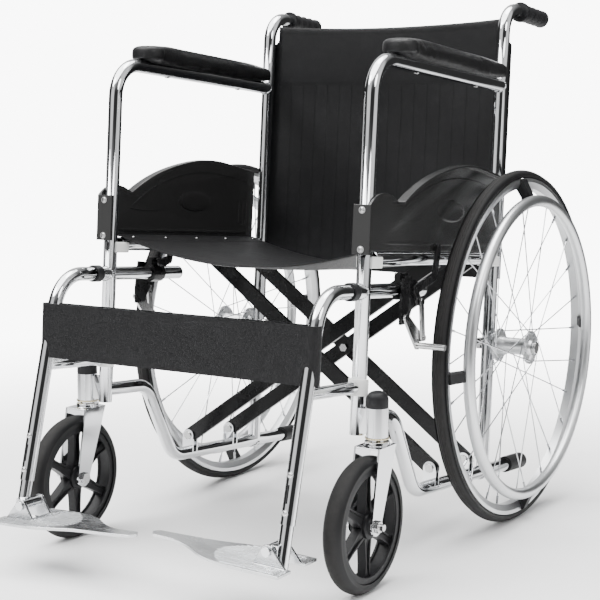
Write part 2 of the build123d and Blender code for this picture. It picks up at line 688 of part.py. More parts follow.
def strip(plane, points, width, thickness, hole=RIVET_R + FIT):
    """A flat bar with round ends along a run of points, with a hole at its first one."""
    with BuildSketch(plane) as face:
        for start, end in zip(points, points[1:]):
            middle = ((start[0] + end[0]) / 2, (start[1] + end[1]) / 2)
            run = (end[0] - start[0], end[1] - start[1])
            with Locations(Location((*middle, 0), (0, 0, degrees(atan2(run[1], run[0]))))):
                SlotCenterToCenter(hypot(*run), width)
        with Locations(points[0]):
            Circle(hole, mode=Mode.SUBTRACT)
    extrude(face.sketch, amount=thickness)


def brake_lever():
    """The bent lever with its plastic-dipped grip and the rivet for the link."""
    link_pin = at(level_plane(LEVER_X), *LINK_TOP)
    with BuildPart() as lever:
        strip(level_plane(LEVER_X), (LEVER_PIVOT, *GRIP_POINTS), 15, BRAKE_T)
        strip(level_plane(LEVER_X), (LEVER_PIVOT, LINK_TOP), 13, BRAKE_T)
        disc(link_pin, 0, 2 * BRAKE_T + 2, RIVET_R)
        disc(link_pin, 2 * BRAKE_T + 1.5, 2 * BRAKE_T + 3, RIVET_R + 2)
    return lever.part


def brake_link():
    """The link between the lever and the shoe arm, with play at its foot."""
    with BuildPart() as link:
        strip(level_plane(LINK_X), (LINK_TOP, LINK_FOOT), 11, BRAKE_T)
        foot = at(level_plane(LINK_X), *LINK_FOOT)
        disc(foot, 0, BRAKE_T, RIVET_R + 0.8, Mode.SUBTRACT)
    return link.part


def brake_shoe():
    """The arm with the cross rod that presses on the tyre."""
    link_pin = at(level_plane(SHOE_X), *LINK_FOOT)
    tip = at(level_plane(SHOE_X), *SHOE_ROD)
    with BuildPart() as shoe:
        strip(level_plane(SHOE_X), (SHOE_PIVOT, SHOE_ROD), 13, BRAKE_T)
        strip(level_plane(SHOE_X), (SHOE_PIVOT, LINK_FOOT), 13, BRAKE_T)
        disc(link_pin, 0, 2 * BRAKE_T + 2, RIVET_R)
        disc(link_pin, 2 * BRAKE_T + 1.5, 2 * BRAKE_T + 3, RIVET_R + 2)
        disc(tip, 0, WHEEL_X + TYRE_W / 2 - SHOE_X + 4, ROD_R)
    return shoe.part


# ---- guard, pads, grips and caps ---------------------------------------------------------
def skirt_guard():
    """The moulded guard beside the seat: a panel, its arched lip and the plate on the post."""
    crest = [(-421, 243), (-392, 238), (-378, 232)]
    arch = [(-314, 264), (-233, 287), (-171, 296), (-116, 295), (-55, 287), (-16, 283)]
    with BuildPart() as guard:
        with BuildSketch(side_plane(GUARD_X)) as panel:
            with BuildLine():
                Polyline((-TUBE_R - 5, arch[-1][1]), (-TUBE_R - 5, GUARD_BASE_Q),
                         (FRONT_P - 17, GUARD_BASE_Q), (FRONT_P - 17, 225))
                Spline((FRONT_P - 17, 225), *crest)
                Spline(crest[-1], *arch)
            make_face()
        extrude(panel.sketch, amount=GUARD_T)
        with BuildSketch(side_plane(GUARD_X)) as lip:
            top = [crest[-1], *arch]
            under = [(p, q - GUARD_T) for p, q in reversed(top)]
            with BuildLine():
                Spline(*top)
                Line(top[-1], under[0])
                Spline(*under)
                Line(under[-1], top[0])
            make_face()
        extrude(lip.sketch, amount=GUARD_T + GUARD_LIP)
        with BuildSketch(side_plane(SIDE_X - TUBE_R - 2)) as flange:
            with Locations((FRONT_P - TUBE_R - 3.2, (GUARD_BASE_Q + 225) / 2 - 3)):
                Rectangle(5.6, 225 - GUARD_BASE_Q + 6)
        extrude(flange.sketch, amount=GUARD_X + GUARD_T - SIDE_X + TUBE_R + 2)
    return guard.part


def arm_pad():
    """The padded armrest, wider and rounder at its front."""
    front, back = PAD_P
    half = PAD_W / 2
    nose = half + 3
    low = ARM_Q + TUBE_R + 0.5
    with BuildPart() as pad:
        with BuildSketch(Plane(side_plane(SIDE_X).from_local_coords((0, low, 0)),
                               x_dir=(1, 0, 0), z_dir=(0, sin(LEAN), cos(LEAN)))) as shape:
            with BuildLine():
                Polyline((half - 3, back), (half, front + 120), (nose, front + 40))
                ThreePointArc((nose, front + 40), (0, front), (-nose, front + 40))
                Polyline((-nose, front + 40), (-half, front + 120), (3 - half, back), (half - 3, back))
            make_face()
        extrude(shape.sketch, amount=PAD_H)
        top = pad.faces().sort_by(Axis((0, 0, 0), (0, sin(LEAN), cos(LEAN))))[-1]
        fillet(top.edges(), radius=9)
    return pad.part


def handle_plane(p):
    """The plane across a push handle at P, looking back along it."""
    return Plane(side_plane(SIDE_X).from_local_coords((p, HANDLE_Q, 0)),
                 x_dir=(1, 0, 0), z_dir=(0, cos(LEAN), -sin(LEAN)))


def push_grip():
    """The rubber grip on a push handle, with a collar and finger waves."""
    start, end = 62, HANDLE_END_P + 5
    waves = 4
    with BuildPart() as grip:
        with BuildSketch(Plane(handle_plane(0).origin, x_dir=(0, cos(LEAN), -sin(LEAN)), z_dir=(1, 0, 0))):
            with BuildLine():
                pitch = (end - start - 16) / waves
                Polyline((start, TUBE_R + FIT), (start, GRIP_R + 2), (start + 6, GRIP_R + 2),
                         (start + 8, GRIP_R))
                for wave in range(waves):
                    left = start + 8 + wave * pitch
                    ThreePointArc((left, GRIP_R), (left + pitch / 2, GRIP_R - 1.6), (left + pitch, GRIP_R))
                crown = start + 8 + waves * pitch
                Line((crown, GRIP_R), (end - 5, GRIP_R))
                RadiusArc((end - 5, GRIP_R), (end, GRIP_R - 5), 5)
                Polyline((end, GRIP_R - 5), (end, 0), (HANDLE_END_P + 0.3, 0),
                         (HANDLE_END_P + 0.3, TUBE_R + FIT), (start, TUBE_R + FIT))
            make_face()
        revolve(axis=Axis(handle_plane(0).origin, (0, cos(LEAN), -sin(LEAN))))
    return grip.part


def tip_cap():
    """The rubber cap on the lower rail's tail, which a helper tips the chair with."""
    start, end = TAIL_CAP_P
    tail = Plane(side_plane(SIDE_X).from_local_coords((start, LOWER_Q, 0)),
                 x_dir=(1, 0, 0), z_dir=(0, sin(LEAN), cos(LEAN)))
    with BuildPart() as cap:
        dome(tail, TAIL_CAP_R, end - start, 8, TUBE_R + FIT, TAIL_P - start + 0.3)
    return cap.part


# ---- cross brace and seat --------------------------------------------------------------
def brace(foot_side, bar_places):
    """Two flat bars from the lower rail on foot_side up to the other side's seat rail."""
    foot = (foot_side * SIDE_X, PIVOT_Q)
    head = (-foot_side * SIDE_X, SEAT_Q)
    middle = (0, (PIVOT_Q + SEAT_Q) / 2)
    turn = degrees(atan2(head[1] - foot[1], head[0] - foot[0]))
    with BuildPart() as bars:
        for p in bar_places:
            with BuildSketch(cross_plane(p - BAR_T / 2)) as bar:
                with Locations(Location((*middle, 0), (0, 0, turn))):
                    SlotCenterToCenter(BRACE_L, BAR_W)
                with Locations(Location((*head, 0), (0, 0, turn))):
                    Circle(TUBE_R + 0.02, mode=Mode.SUBTRACT)
                    with Locations((-6, 0)):
                        Rectangle(40, 40, align=(Align.MIN, Align.CENTER), mode=Mode.SUBTRACT)
                with Locations(foot):
                    Circle(PIN_R + FIT, mode=Mode.SUBTRACT)
                with Locations(middle):
                    Circle(PIN_R + FIT, mode=Mode.SUBTRACT)
            extrude(bar.sketch, amount=-BAR_T)
    return bars.part


def seat_rail(side):
    """The tube that carries one edge of the seat and rises as the chair folds."""
    ends = (FRONT_P + TUBE_R + SEAT_RAIL_END_GAP, -TUBE_R - SEAT_RAIL_END_GAP)
    run = ((ends[0], SEAT_Q), (ends[1], SEAT_Q))
    with BuildPart() as rail:
        rod(side_plane(side * SIDE_X), run, TUBE_R)
        rod(side_plane(side * SIDE_X), run, TUBE_R - TUBE_WALL, mode=Mode.SUBTRACT)
    return rail.part


def brace_bolts():
    """The bolts that the two braces turn on where they cross."""
    middle_q = (PIVOT_Q + SEAT_Q) / 2
    reach = BAR_T + BAR_GAP / 2
    with BuildPart() as bolts:
        for p in BRACE_PS:
            across = at(cross_plane(p), 0, middle_q)
            disc(across, -reach - 3, reach + 3, PIN_R)
            for low in (-reach - 4.5, reach + 0.5):
                with BuildSketch(across.offset(low)) as nut:
                    RegularPolygon(7.5, 6)
                extrude(nut.sketch, amount=4)
    return bolts.part


def brace_pins(side):
    """The rivets that the braces' feet turn on, in the brackets of one side."""
    with BuildPart() as pins:
        for p in foot_places(side):
            across = at(cross_plane(p), SIDE_X, PIVOT_Q)
            reach = BAR_T / 2 + BAR_GAP / 2 + EAR_T
            disc(across, -reach - 1, reach + 1, PIN_R - 0.02)
            for low in (-reach - 2.5, reach):
                disc(across, low, low + 2.5, PIN_R + 3)
    return pins.part


def seat_sling():
    """The seat's sheet, which hangs between the seat rails."""
    edge_x = SIDE_X + 8
    slope = 2 * SLING_SAG / edge_x
    edge_q = SEAT_Q + (TUBE_R + 2 * SEAT_GAP) * hypot(1, slope) + slope * (edge_x - SIDE_X)
    with BuildPart() as sling:
        with BuildSketch(cross_plane(FRONT_P + SEAT_END)) as sheet:
            with BuildLine():
                ThreePointArc((-edge_x, edge_q), (0, edge_q - SLING_SAG), (edge_x, edge_q))
                Line((edge_x, edge_q), (edge_x, edge_q + SLING_T))
                ThreePointArc((edge_x, edge_q + SLING_T), (0, edge_q + SLING_T - SLING_SAG),
                              (-edge_x, edge_q + SLING_T))
                Line((-edge_x, edge_q + SLING_T), (-edge_x, edge_q))
            make_face()
        extrude(sheet.sketch, amount=FRONT_P + 2 * SEAT_END)
    return sling.part


def back_sling():
    """The back's sheet behind the canes, narrower above where they start to bend."""
    low, shoulder, high = BACK_Q
    wide, narrow = SIDE_X + TUBE_R, SIDE_X - TUBE_R - 1
    with BuildPart() as sling:
        with BuildSketch(cross_plane(TUBE_R + SEAT_GAP)) as sheet:
            with BuildLine():
                Polyline((-wide, low), (wide, low), (wide, shoulder), (narrow, shoulder), (narrow, high),
                         (-narrow, high), (-narrow, shoulder), (-wide, shoulder), (-wide, low))
            make_face()
        extrude(sheet.sketch, amount=-SLING_T)
    return sling.part


def calf_strap():
    """The strap that goes round both footrest legs."""
    middle = side_plane(0).from_local_coords((leg_p(STRAP_Q), STRAP_Q, 0))
    across = Plane(origin=middle, x_dir=(1, 0, 0), z_dir=leg_direction())
    with BuildPart() as strap:
        with BuildSketch(across.offset(-STRAP_W / 2)) as loop:
            SlotCenterToCenter(2 * SIDE_X, 2 * (TUBE_R + SEAT_GAP + SLING_T))
            SlotCenterToCenter(2 * SIDE_X, 2 * (TUBE_R + SEAT_GAP), mode=Mode.SUBTRACT)
        extrude(loop.sketch, amount=STRAP_W)
    return strap.part


# ---- writing ---------------------------------------------------------------------------
PAIRED = {
    "frame_caps": frame_caps,
    "nylon_saddles": nylon_saddles,
    "footrest_hanger": footrest_hanger,
    "footplate_post": footplate_post,
    "castor_tyre": castor_tyre,
    "castor_wheel": castor_wheel,
    "castor_fork": castor_fork,
    "castor_axle": castor_axle,
    "rear_tyre": rear_tyre,
    "rear_rim": rear_rim,
    "rear_spokes": rear_spokes,
    "rear_hub": rear_hub,
    "rear_axle": rear_axle,
    "handrim": handrim,
    "handrim_spacers": handrim_spacers,
    "brake_clamp": brake_clamp,
    "brake_lever": brake_lever,
    "brake_link": brake_link,
    "brake_shoe": brake_shoe,
    "skirt_guard": skirt_guard,
    "arm_pad": arm_pad,
    "push_grip": push_grip,
    "tip_cap": tip_cap,
}
SIDED = {"side_frame": side_frame, "footplate": footplate, "brace_pins": brace_pins}
SINGLE = {
    "seat_rail_left": lambda: seat_rail(1),
    "seat_rail_right": lambda: seat_rail(-1),
    "brace_a": lambda: brace(-1, foot_places(-1)),
    "brace_b": lambda: brace(1, foot_places(1)),
    "brace_bolts": brace_bolts,
    "seat_sling": seat_sling,
    "back_sling": back_sling,
    "calf_strap": calf_strap,
}


def save(part, label):
    """Label a finished piece and write its STEP file."""
    part.label = label
    export_step(part, f"parts/{label}.step")


os.makedirs("parts", exist_ok=True)
for name, make in PAIRED.items():
    piece = make()
    save(piece, f"{name}_left")
    save(mirror(piece, about=Plane.YZ), f"{name}_right")
for name, make in SIDED.items():
    save(make(1), f"{name}_left")
    save(mirror(make(-1), about=Plane.YZ), f"{name}_right")
for name, make in SINGLE.items():
    save(make(), name)
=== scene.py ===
"""Looks of a folding manual wheelchair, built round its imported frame.

Every piece is made in metres in the frame's own axes: +Z is up, the user faces -Y and +X is the
user's left. Places come from the frame's nodes, and lengths along a side frame use P, back along
its rails, and Q, up along its posts, both from the rear axle.
"""
from __future__ import annotations

import json
import logging
import math
from dataclasses import dataclass
from enum import Enum
from typing import Callable, Iterable, Sequence

import bmesh
import bpy
from mathutils import Matrix, Vector, noise

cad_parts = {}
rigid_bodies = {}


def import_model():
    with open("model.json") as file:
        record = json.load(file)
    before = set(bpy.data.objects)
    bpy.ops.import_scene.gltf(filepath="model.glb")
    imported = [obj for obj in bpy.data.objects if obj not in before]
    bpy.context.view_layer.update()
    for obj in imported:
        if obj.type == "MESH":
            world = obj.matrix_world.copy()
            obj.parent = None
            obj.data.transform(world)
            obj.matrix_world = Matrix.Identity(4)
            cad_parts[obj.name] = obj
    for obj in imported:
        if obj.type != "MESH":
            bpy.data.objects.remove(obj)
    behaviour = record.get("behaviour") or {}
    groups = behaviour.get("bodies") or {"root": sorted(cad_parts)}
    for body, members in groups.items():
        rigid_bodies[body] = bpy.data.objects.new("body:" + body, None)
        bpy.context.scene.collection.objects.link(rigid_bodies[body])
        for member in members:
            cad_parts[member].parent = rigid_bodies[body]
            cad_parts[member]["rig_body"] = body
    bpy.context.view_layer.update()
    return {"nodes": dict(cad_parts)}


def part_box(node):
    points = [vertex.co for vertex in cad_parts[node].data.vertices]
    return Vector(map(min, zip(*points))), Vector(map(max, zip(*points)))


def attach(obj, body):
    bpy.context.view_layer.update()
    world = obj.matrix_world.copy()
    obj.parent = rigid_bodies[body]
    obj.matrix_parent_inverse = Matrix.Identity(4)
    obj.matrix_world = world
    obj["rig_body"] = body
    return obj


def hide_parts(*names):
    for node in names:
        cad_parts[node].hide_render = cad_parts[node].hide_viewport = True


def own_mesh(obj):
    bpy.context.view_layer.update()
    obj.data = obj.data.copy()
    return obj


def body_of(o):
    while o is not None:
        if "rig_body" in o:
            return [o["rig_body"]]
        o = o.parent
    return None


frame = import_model()
LOG = logging.getLogger("wheelchair")
Point = tuple[float, float]


# ---- finishes --------------------------------------------------------------------------
class Wire:
    """A number in a material's node tree. Arithmetic on it adds Math nodes."""

    def __init__(self, dress: Dress, socket: bpy.types.NodeSocket) -> None:
        self.dress = dress
        self.socket = socket

    def _with(self, operation: str, *terms: Wire | float) -> Wire:
        """Join this value and the other terms with one Math node."""
        return self.dress.node("ShaderNodeMath", {"operation": operation}, dict(enumerate(terms)))

    def __add__(self, other: Wire | float) -> Wire:
        return self._with("ADD", self, other)

    __radd__ = __add__

    def __sub__(self, other: Wire | float) -> Wire:
        return self._with("SUBTRACT", self, other)

    def __rsub__(self, other: Wire | float) -> Wire:
        return self._with("SUBTRACT", other, self)

    def __mul__(self, other: Wire | float) -> Wire:
        return self._with("MULTIPLY", self, other)

    __rmul__ = __mul__

    def __truediv__(self, other: Wire | float) -> Wire:
        return self._with("DIVIDE", self, other)

    def power(self, exponent: float) -> Wire:
        """Raise the value to a power."""
        return self._with("POWER", self, exponent)

    def wave(self) -> Wire:
        """The sine of the value in radians."""
        return self._with("SINE", self)

    def angle_to(self, other: Wire) -> Wire:
        """The angle of the point (other, self) about zero."""
        return self._with("ARCTAN2", self, other)

    def step(self, low: float, high: float) -> Wire:
        """Rise smoothly from 0 at low to 1 at high."""
        return self.dress.node("ShaderNodeMapRange", {"interpolation_type": "SMOOTHSTEP", "clamp": True},
                               {"Value": self, "From Min": low, "From Max": high})


class Dress:
    """A material being written, with its Principled shader."""

    def __init__(self, name: str) -> None:
        self.material = bpy.data.materials.new(name)
        self.material.use_nodes = True
        self.tree = self.material.node_tree
        self.shader = self.tree.nodes["Principled BSDF"]
        coordinates = self.tree.nodes.new("ShaderNodeTexCoord")
        self.place = coordinates.outputs["Object"]
        self.uv = coordinates.outputs["UV"]

    def node(self, kind: str, settings: dict, inputs: dict, output: int | str = 0) -> Wire:
        """Add a node.

        Args:
            kind: The node's type.
            settings: Attributes set before anything else.
            inputs: Values, sockets or wires for its inputs, by name or number.
            output: The output that is returned.

        Returns:
            The chosen output as a wire.
        """
        made = self.tree.nodes.new(kind)
        for key, value in settings.items():
            setattr(made, key, value)
        for key, value in inputs.items():
            self.feed(made.inputs[key], value)
        return Wire(self, made.outputs[output])

    def feed(self, socket: bpy.types.NodeSocket, value: object) -> None:
        """Give a socket a link or a plain value."""
        if isinstance(value, Wire):
            self.tree.links.new(value.socket, socket)
        elif isinstance(value, bpy.types.NodeSocket):
            self.tree.links.new(value, socket)
        else:
            socket.default_value = value

    def stretched(self, scale: Sequence[float], turn: Sequence[float] = (0, 0, 0)) -> Wire:
        """Object coordinates, turned and then scaled."""
        return self.node("ShaderNodeMapping", {}, {"Vector": self.place, "Scale": scale, "Rotation": turn})

    def noise(self, scale: float, detail: float = 3.0, vector: Wire | None = None,
              rough: float = 0.55) -> Wire:
        """Fractal noise from 0 to 1."""
        return self.node("ShaderNodeTexNoise", {}, {"Vector": vector or self.place, "Scale": scale,
                                                    "Detail": detail, "Roughness": rough})

    def cells(self, scale: float, vector: Wire | None = None, feature: str = "DISTANCE_TO_EDGE") -> Wire:
        """Distance in a cellular pattern."""
        return self.node("ShaderNodeTexVoronoi", {"feature": feature},
                         {"Vector": vector or self.place, "Scale": scale}, "Distance")

    def split(self, vector: object) -> tuple[Wire, Wire, Wire]:
        """The three parts of a vector."""
        made = self.tree.nodes.new("ShaderNodeSeparateXYZ")
        self.feed(made.inputs[0], vector)
        return Wire(self, made.outputs[0]), Wire(self, made.outputs[1]), Wire(self, made.outputs[2])

    def colours(self, mask: Wire, low: Sequence[float], high: Sequence[float]) -> Wire:
        """Blend two colours by a mask."""
        made = self.tree.nodes.new("ShaderNodeMix")
        made.data_type = "RGBA"
        self.feed(made.inputs["Factor"], mask)
        made.inputs[6].default_value = (*low, 1)
        made.inputs[7].default_value = (*high, 1)
        return Wire(self, made.outputs[2])

    def bump(self, height: Wire, distance: float, strength: float = 1.0) -> None:
        """Give the shader a bumped normal, distance in metres."""
        normal = self.node("ShaderNodeBump", {}, {"Height": height, "Distance": distance,
                                                  "Strength": strength})
        self.feed(self.shader.inputs["Normal"], normal)

    def shade(self, **values: object) -> bpy.types.Material:
        """Set the shader's sockets, with underscores for the spaces in their names."""
        for key, value in values.items():
            self.feed(self.shader.inputs[key.replace("_", " ")], value)
        return self.material


class Sky(Dress):
    """The world's light being written, with its Background shader."""

    def __init__(self, name: str) -> None:
        self.world = bpy.data.worlds.new(name)
        self.world.use_nodes = True
        bpy.context.scene.world = self.world
        self.tree = self.world.node_tree
        self.shader = self.tree.nodes["Background"]
        self.shader.inputs["Color"].default_value = (1, 1, 1, 1)
        self.place = self.tree.nodes.new("ShaderNodeTexCoord").outputs["Generated"]


@dataclass(frozen=True)
class PlatedSteel:
    """Bright plate over steel: mirror chrome, or duller zinc and nickel."""

    name: str
    tint: tuple[float, float, float] = (0.80, 0.81, 0.825)
    gloss: float = 0.05
    haze: float = 0.10

    def make(self) -> bpy.types.Material:
        """Write the material: faint haze, polishing marks and dust in the roughness."""
        dress = Dress(self.name)
        haze = dress.noise(9, 4)
        marks = dress.noise(160, 2, dress.stretched((1, 1, 0.12)))
        rough = self.gloss + self.haze * haze.step(0.45, 0.8) + 0.05 * marks.step(0.55, 0.9)
        dark = tuple(value * 0.86 for value in self.tint)
        dress.bump(marks, 0.00004, 0.5)
        return dress.shade(Base_Color=dress.colours(haze, self.tint, dark), Metallic=1.0, Roughness=rough)


@dataclass(frozen=True)
class SpunMetal:
    """Satin metal with fine rings about a wheel's axis."""

    name: str
    axis_y: float
    axis_z: float
    tint: tuple[float, float, float] = (0.70, 0.71, 0.72)
    rough: float = 0.26

    def make(self) -> bpy.types.Material:
        """Write the material: rings from the distance to the axis, and slow clouding."""
        dress = Dress(self.name)
        _, y, z = dress.split(dress.place)
        radius = ((y - self.axis_y).power(2.0) + (z - self.axis_z).power(2.0)).power(0.5)
        rings = dress.node("ShaderNodeTexNoise", {"noise_dimensions": "1D"},
                           {"W": radius, "Scale": 1600.0, "Detail": 2.0})
        cloud = dress.noise(14, 3)
        dress.bump(rings, 0.00003, 0.6)
        dark = tuple(value * 0.88 for value in self.tint)
        return dress.shade(Base_Color=dress.colours(cloud, self.tint, dark), Metallic=1.0,
                           Roughness=self.rough + 0.10 * rings + 0.06 * cloud)


@dataclass(frozen=True)
class Grain:
    """Moulded or coated black stuff: vinyl, rubber, enamel, plastic."""

    name: str
    tint: tuple[float, float, float]
    worn: tuple[float, float, float]
    rough: float
    spread: float
    cell_scale: float = 0.0
    cell_depth: float = 0.0
    ripple_scale: float = 40.0
    ripple_depth: float = 0.0
    coat: float = 0.0
    sheen: float = 0.0
    specular: float = 0.22

    def make(self) -> bpy.types.Material:
        """Write the material: pebbled grain, slow ripples, rub marks in colour and roughness."""
        dress = Dress(self.name)
        cloud = dress.noise(6, 4)
        rub = dress.noise(38, 5, rough=0.65)
        ripple = dress.noise(self.ripple_scale, 3)
        height = self.ripple_depth * ripple
        if self.cell_scale:
            bent = dress.node("ShaderNodeVectorMath", {"operation": "MULTIPLY_ADD"},
                              {0: dress.node("ShaderNodeTexNoise", {}, {"Vector": dress.place,
                                                                        "Scale": self.cell_scale * 0.35},
                                             "Color"),
                               1: (0.0016,) * 3, 2: dress.place})
            pebble = dress.cells(self.cell_scale, bent).step(0.0, 0.30)
            height = height + self.cell_depth * pebble
        dress.bump(height, 1.0)
        self._fixed(dress)
        return dress.shade(Base_Color=dress.colours(rub.step(0.5, 0.85), self.tint, self.worn),
                           Roughness=self.rough + self.spread * cloud + 0.08 * rub.step(0.45, 0.8))

    def _fixed(self, dress: Dress) -> None:
        """Set the sockets that are the same all over."""
        dress.shader.inputs["Specular IOR Level"].default_value = self.specular
        dress.shader.inputs["Coat Weight"].default_value = self.coat
        dress.shader.inputs["Coat Roughness"].default_value = 0.12
        dress.shader.inputs["Sheen Weight"].default_value = self.sheen


@dataclass(frozen=True)
class TyreRubber:
    """Solid tyre rubber with fine moulding rings and dust on the tread."""

    name: str
    axis_y: float
    axis_z: float
    tread_r: float

    def make(self) -> bpy.types.Material:
        """Write the material: rings about the axle, and paler rubber where the tread rolls."""
        dress = Dress(self.name)
        _, y, z = dress.split(dress.place)
        radius = ((y - self.axis_y).power(2.0) + (z - self.axis_z).power(2.0)).power(0.5)
        tread = radius.step(self.tread_r - 0.006, self.tread_r)
        dust = dress.noise(90, 5, rough=0.7) * tread
        rings = dress.node("ShaderNodeTexNoise", {"noise_dimensions": "1D"},
                           {"W": radius, "Scale": 900.0, "Detail": 1.0})
        stipple = dress.noise(1400, 1)
        dress.bump(rings * 0.4 + stipple * 0.6, 0.00008, 0.7)
        dress.shader.inputs["Specular IOR Level"].default_value = 0.25
        return dress.shade(Base_Color=dress.colours(dust, (0.0055, 0.0055, 0.006), (0.024, 0.023, 0.022)),
                           Roughness=0.42 + 0.25 * tread + 0.12 * dress.noise(22, 3))


@dataclass(frozen=True)
class Nylon:
    """White nylon, a little clear at its edges."""

    name: str

    def make(self) -> bpy.types.Material:
        """Write the material: faint mould flow in colour and gloss."""
        dress = Dress(self.name)
        flow = dress.noise(60, 3)
        dress.shader.inputs["Subsurface Weight"].default_value = 0.15
        dress.shader.inputs["Subsurface Scale"].default_value = 0.003
        dress.bump(dress.noise(900, 1), 0.00003, 0.4)
        return dress.shade(Base_Color=dress.colours(flow, (0.82, 0.82, 0.80), (0.72, 0.72, 0.69)),
                           Roughness=0.32 + 0.15 * flow)


@dataclass(frozen=True)
class CastPlate:
    """Polished cast alloy with grinding lines across the chair."""

    name: str

    def make(self) -> bpy.types.Material:
        """Write the material: fine lines along X and scuffs from shoes."""
        dress = Dress(self.name)
        lines = dress.noise(420, 3, dress.stretched((0.04, 1, 1)))
        scuff = dress.noise(34, 5, dress.stretched((0.5, 1, 1)), 0.7)
        dress.bump(lines, 0.00006, 0.6)
        return dress.shade(Base_Color=dress.colours(scuff.step(0.5, 0.8), (0.62, 0.63, 0.64),
                                                    (0.44, 0.45, 0.46)),
                           Metallic=1.0, Roughness=0.16 + 0.12 * lines + 0.14 * scuff.step(0.4, 0.8))


class Look(Enum):
    """Every finish on the chair, with the record's material slot that it belongs to."""

    CHROME = ("chrome_tube", "chrome")
    ZINC = ("zinc_hardware", "zinc")
    BRASS = ("zinc_hardware", "brassy_zinc")
    SPOKE = ("steel_spoke", "spoke_wire")
    RIM = ("silver_rim", "satin_rim")
    TYRE = ("tyre_rubber", "rear_tyre")
    CASTOR_TYRE = ("tyre_rubber", "castor_tyre")
    MOULDED = ("black_plastic", "moulded_black")
    GUARD = ("gloss_guard", "gloss_guard")
    ENAMEL = ("black_enamel", "stove_enamel")
    VINYL = ("black_vinyl", "seat_vinyl")
    STRAP = ("black_vinyl", "strap_vinyl")
    BACK = ("black_vinyl", "back_vinyl")
    THREAD = ("black_vinyl", "thread")
    PAD = ("black_vinyl_pad", "pad_skin")
    GRIP = ("black_grip", "grip_rubber")
    CAP = ("black_rubber", "cap_rubber")
    NYLON = ("white_nylon", "white_nylon")
    PLATE = ("cast_aluminium", "cast_plate")

    def __init__(self, slot: str, title: str) -> None:
        self.slot = slot
        self.title = title

    @property
    def material(self) -> bpy.types.Material:
        """The finished material, written once by Paintshop."""
        return bpy.data.materials[self.title]


@dataclass
class Paintshop:
    """Writes every material once, round the wheels' axes."""

    axle: Vector
    castor: Vector
    tyre_r: float
    castor_r: float

    def build(self) -> None:
        """Write all finishes."""
        black = (0.0045, 0.0046, 0.005)
        finishes = (
            PlatedSteel("chrome"),
            PlatedSteel("zinc", (0.66, 0.66, 0.66), 0.20, 0.16),
            PlatedSteel("brassy_zinc", (0.68, 0.60, 0.42), 0.22, 0.16),
            PlatedSteel("spoke_wire", (0.62, 0.63, 0.65), 0.16, 0.12),
            SpunMetal("satin_rim", self.axle.y, self.axle.z),
            TyreRubber("rear_tyre", self.axle.y, self.axle.z, self.tyre_r),
            TyreRubber("castor_tyre", self.castor.y, self.castor.z, self.castor_r),
            Grain("moulded_black", (0.010, 0.010, 0.011), (0.03, 0.03, 0.031), 0.36, 0.14,
                  ripple_scale=1300, ripple_depth=0.00005),
            Grain("gloss_guard", (0.004, 0.004, 0.0045), (0.008, 0.008, 0.008), 0.16, 0.10,
                  ripple_scale=70, ripple_depth=0.00010, coat=0.15),
            Grain("stove_enamel", (0.006, 0.006, 0.0065), (0.02, 0.02, 0.02), 0.20, 0.12,
                  ripple_scale=160, ripple_depth=0.00006, coat=0.12),
            Grain("seat_vinyl", (0.0045, 0.0045, 0.005), (0.008, 0.008, 0.0085), 0.42, 0.12,
                  900, 0.00012, 60, 0.0003, 0.03),
            Grain("strap_vinyl", (0.0045, 0.0045, 0.0052), (0.012, 0.012, 0.0135), 0.32, 0.10,
                  620, 0.00042, 45, 0.0006, 0.06),
            Grain("back_vinyl", (0.004, 0.0041, 0.0048), (0.008, 0.0082, 0.0092), 0.28, 0.12,
                  820, 0.00013, 24, 0.0009, 0.08),
            Grain("thread", black, (0.02, 0.02, 0.02), 0.6, 0.1, ripple_scale=2600, ripple_depth=0.0001),
            Grain("pad_skin", (0.009, 0.009, 0.0095), (0.018, 0.018, 0.018), 0.30, 0.12,
                  1100, 0.00010, 90, 0.0002, 0.12),
            Grain("grip_rubber", (0.012, 0.012, 0.013), (0.03, 0.03, 0.03), 0.40, 0.12,
                  ripple_scale=900, ripple_depth=0.0001),
            Grain("cap_rubber", (0.011, 0.011, 0.0115), (0.03, 0.029, 0.028), 0.46, 0.14,
                  ripple_scale=700, ripple_depth=0.0001),
            Nylon("white_nylon"),
            CastPlate("cast_plate"),
        )
        for finish in finishes:
            finish.make()


# ---- shared mesh work ------------------------------------------------------------------
class Side(Enum):
    """The user's left (+X) and right (-X)."""

    LEFT = 1
    RIGHT = -1

    @property
    def word(self) -> str:
        """The ending of this side's node names."""
        return self.name.lower()

    def node(self, stem: str) -> str:
        """A node's name on this side."""
        return f"{stem}_{self.word}"


@dataclass(frozen=True)
class SideAxes:
    """Turns lengths along a side frame into the row's frame."""

    axle: Vector
    lean: float

    def at(self, x: float, p: float, q: float) -> Vector:
        """The point at x, p back along the rails and q up along the posts."""
        return Vector((x, self.axle.y + p * math.cos(self.lean) + q * math.sin(self.lean),
                       self.axle.z - p * math.sin(self.lean) + q * math.cos(self.lean)))

    @property
    def back(self) -> Vector:
        """Unit vector back along the rails."""
        return Vector((0, math.cos(self.lean), -math.sin(self.lean)))

    @property
    def up(self) -> Vector:
        """Unit vector up along the posts."""
        return Vector((0, math.sin(self.lean), math.cos(self.lean)))


def link(name: str, mesh: bpy.types.Mesh) -> bpy.types.Object:
    """Put a mesh into the scene as an object at the origin."""
    made = bpy.data.objects.new(name, mesh)
    bpy.context.scene.collection.objects.link(made)
    return made


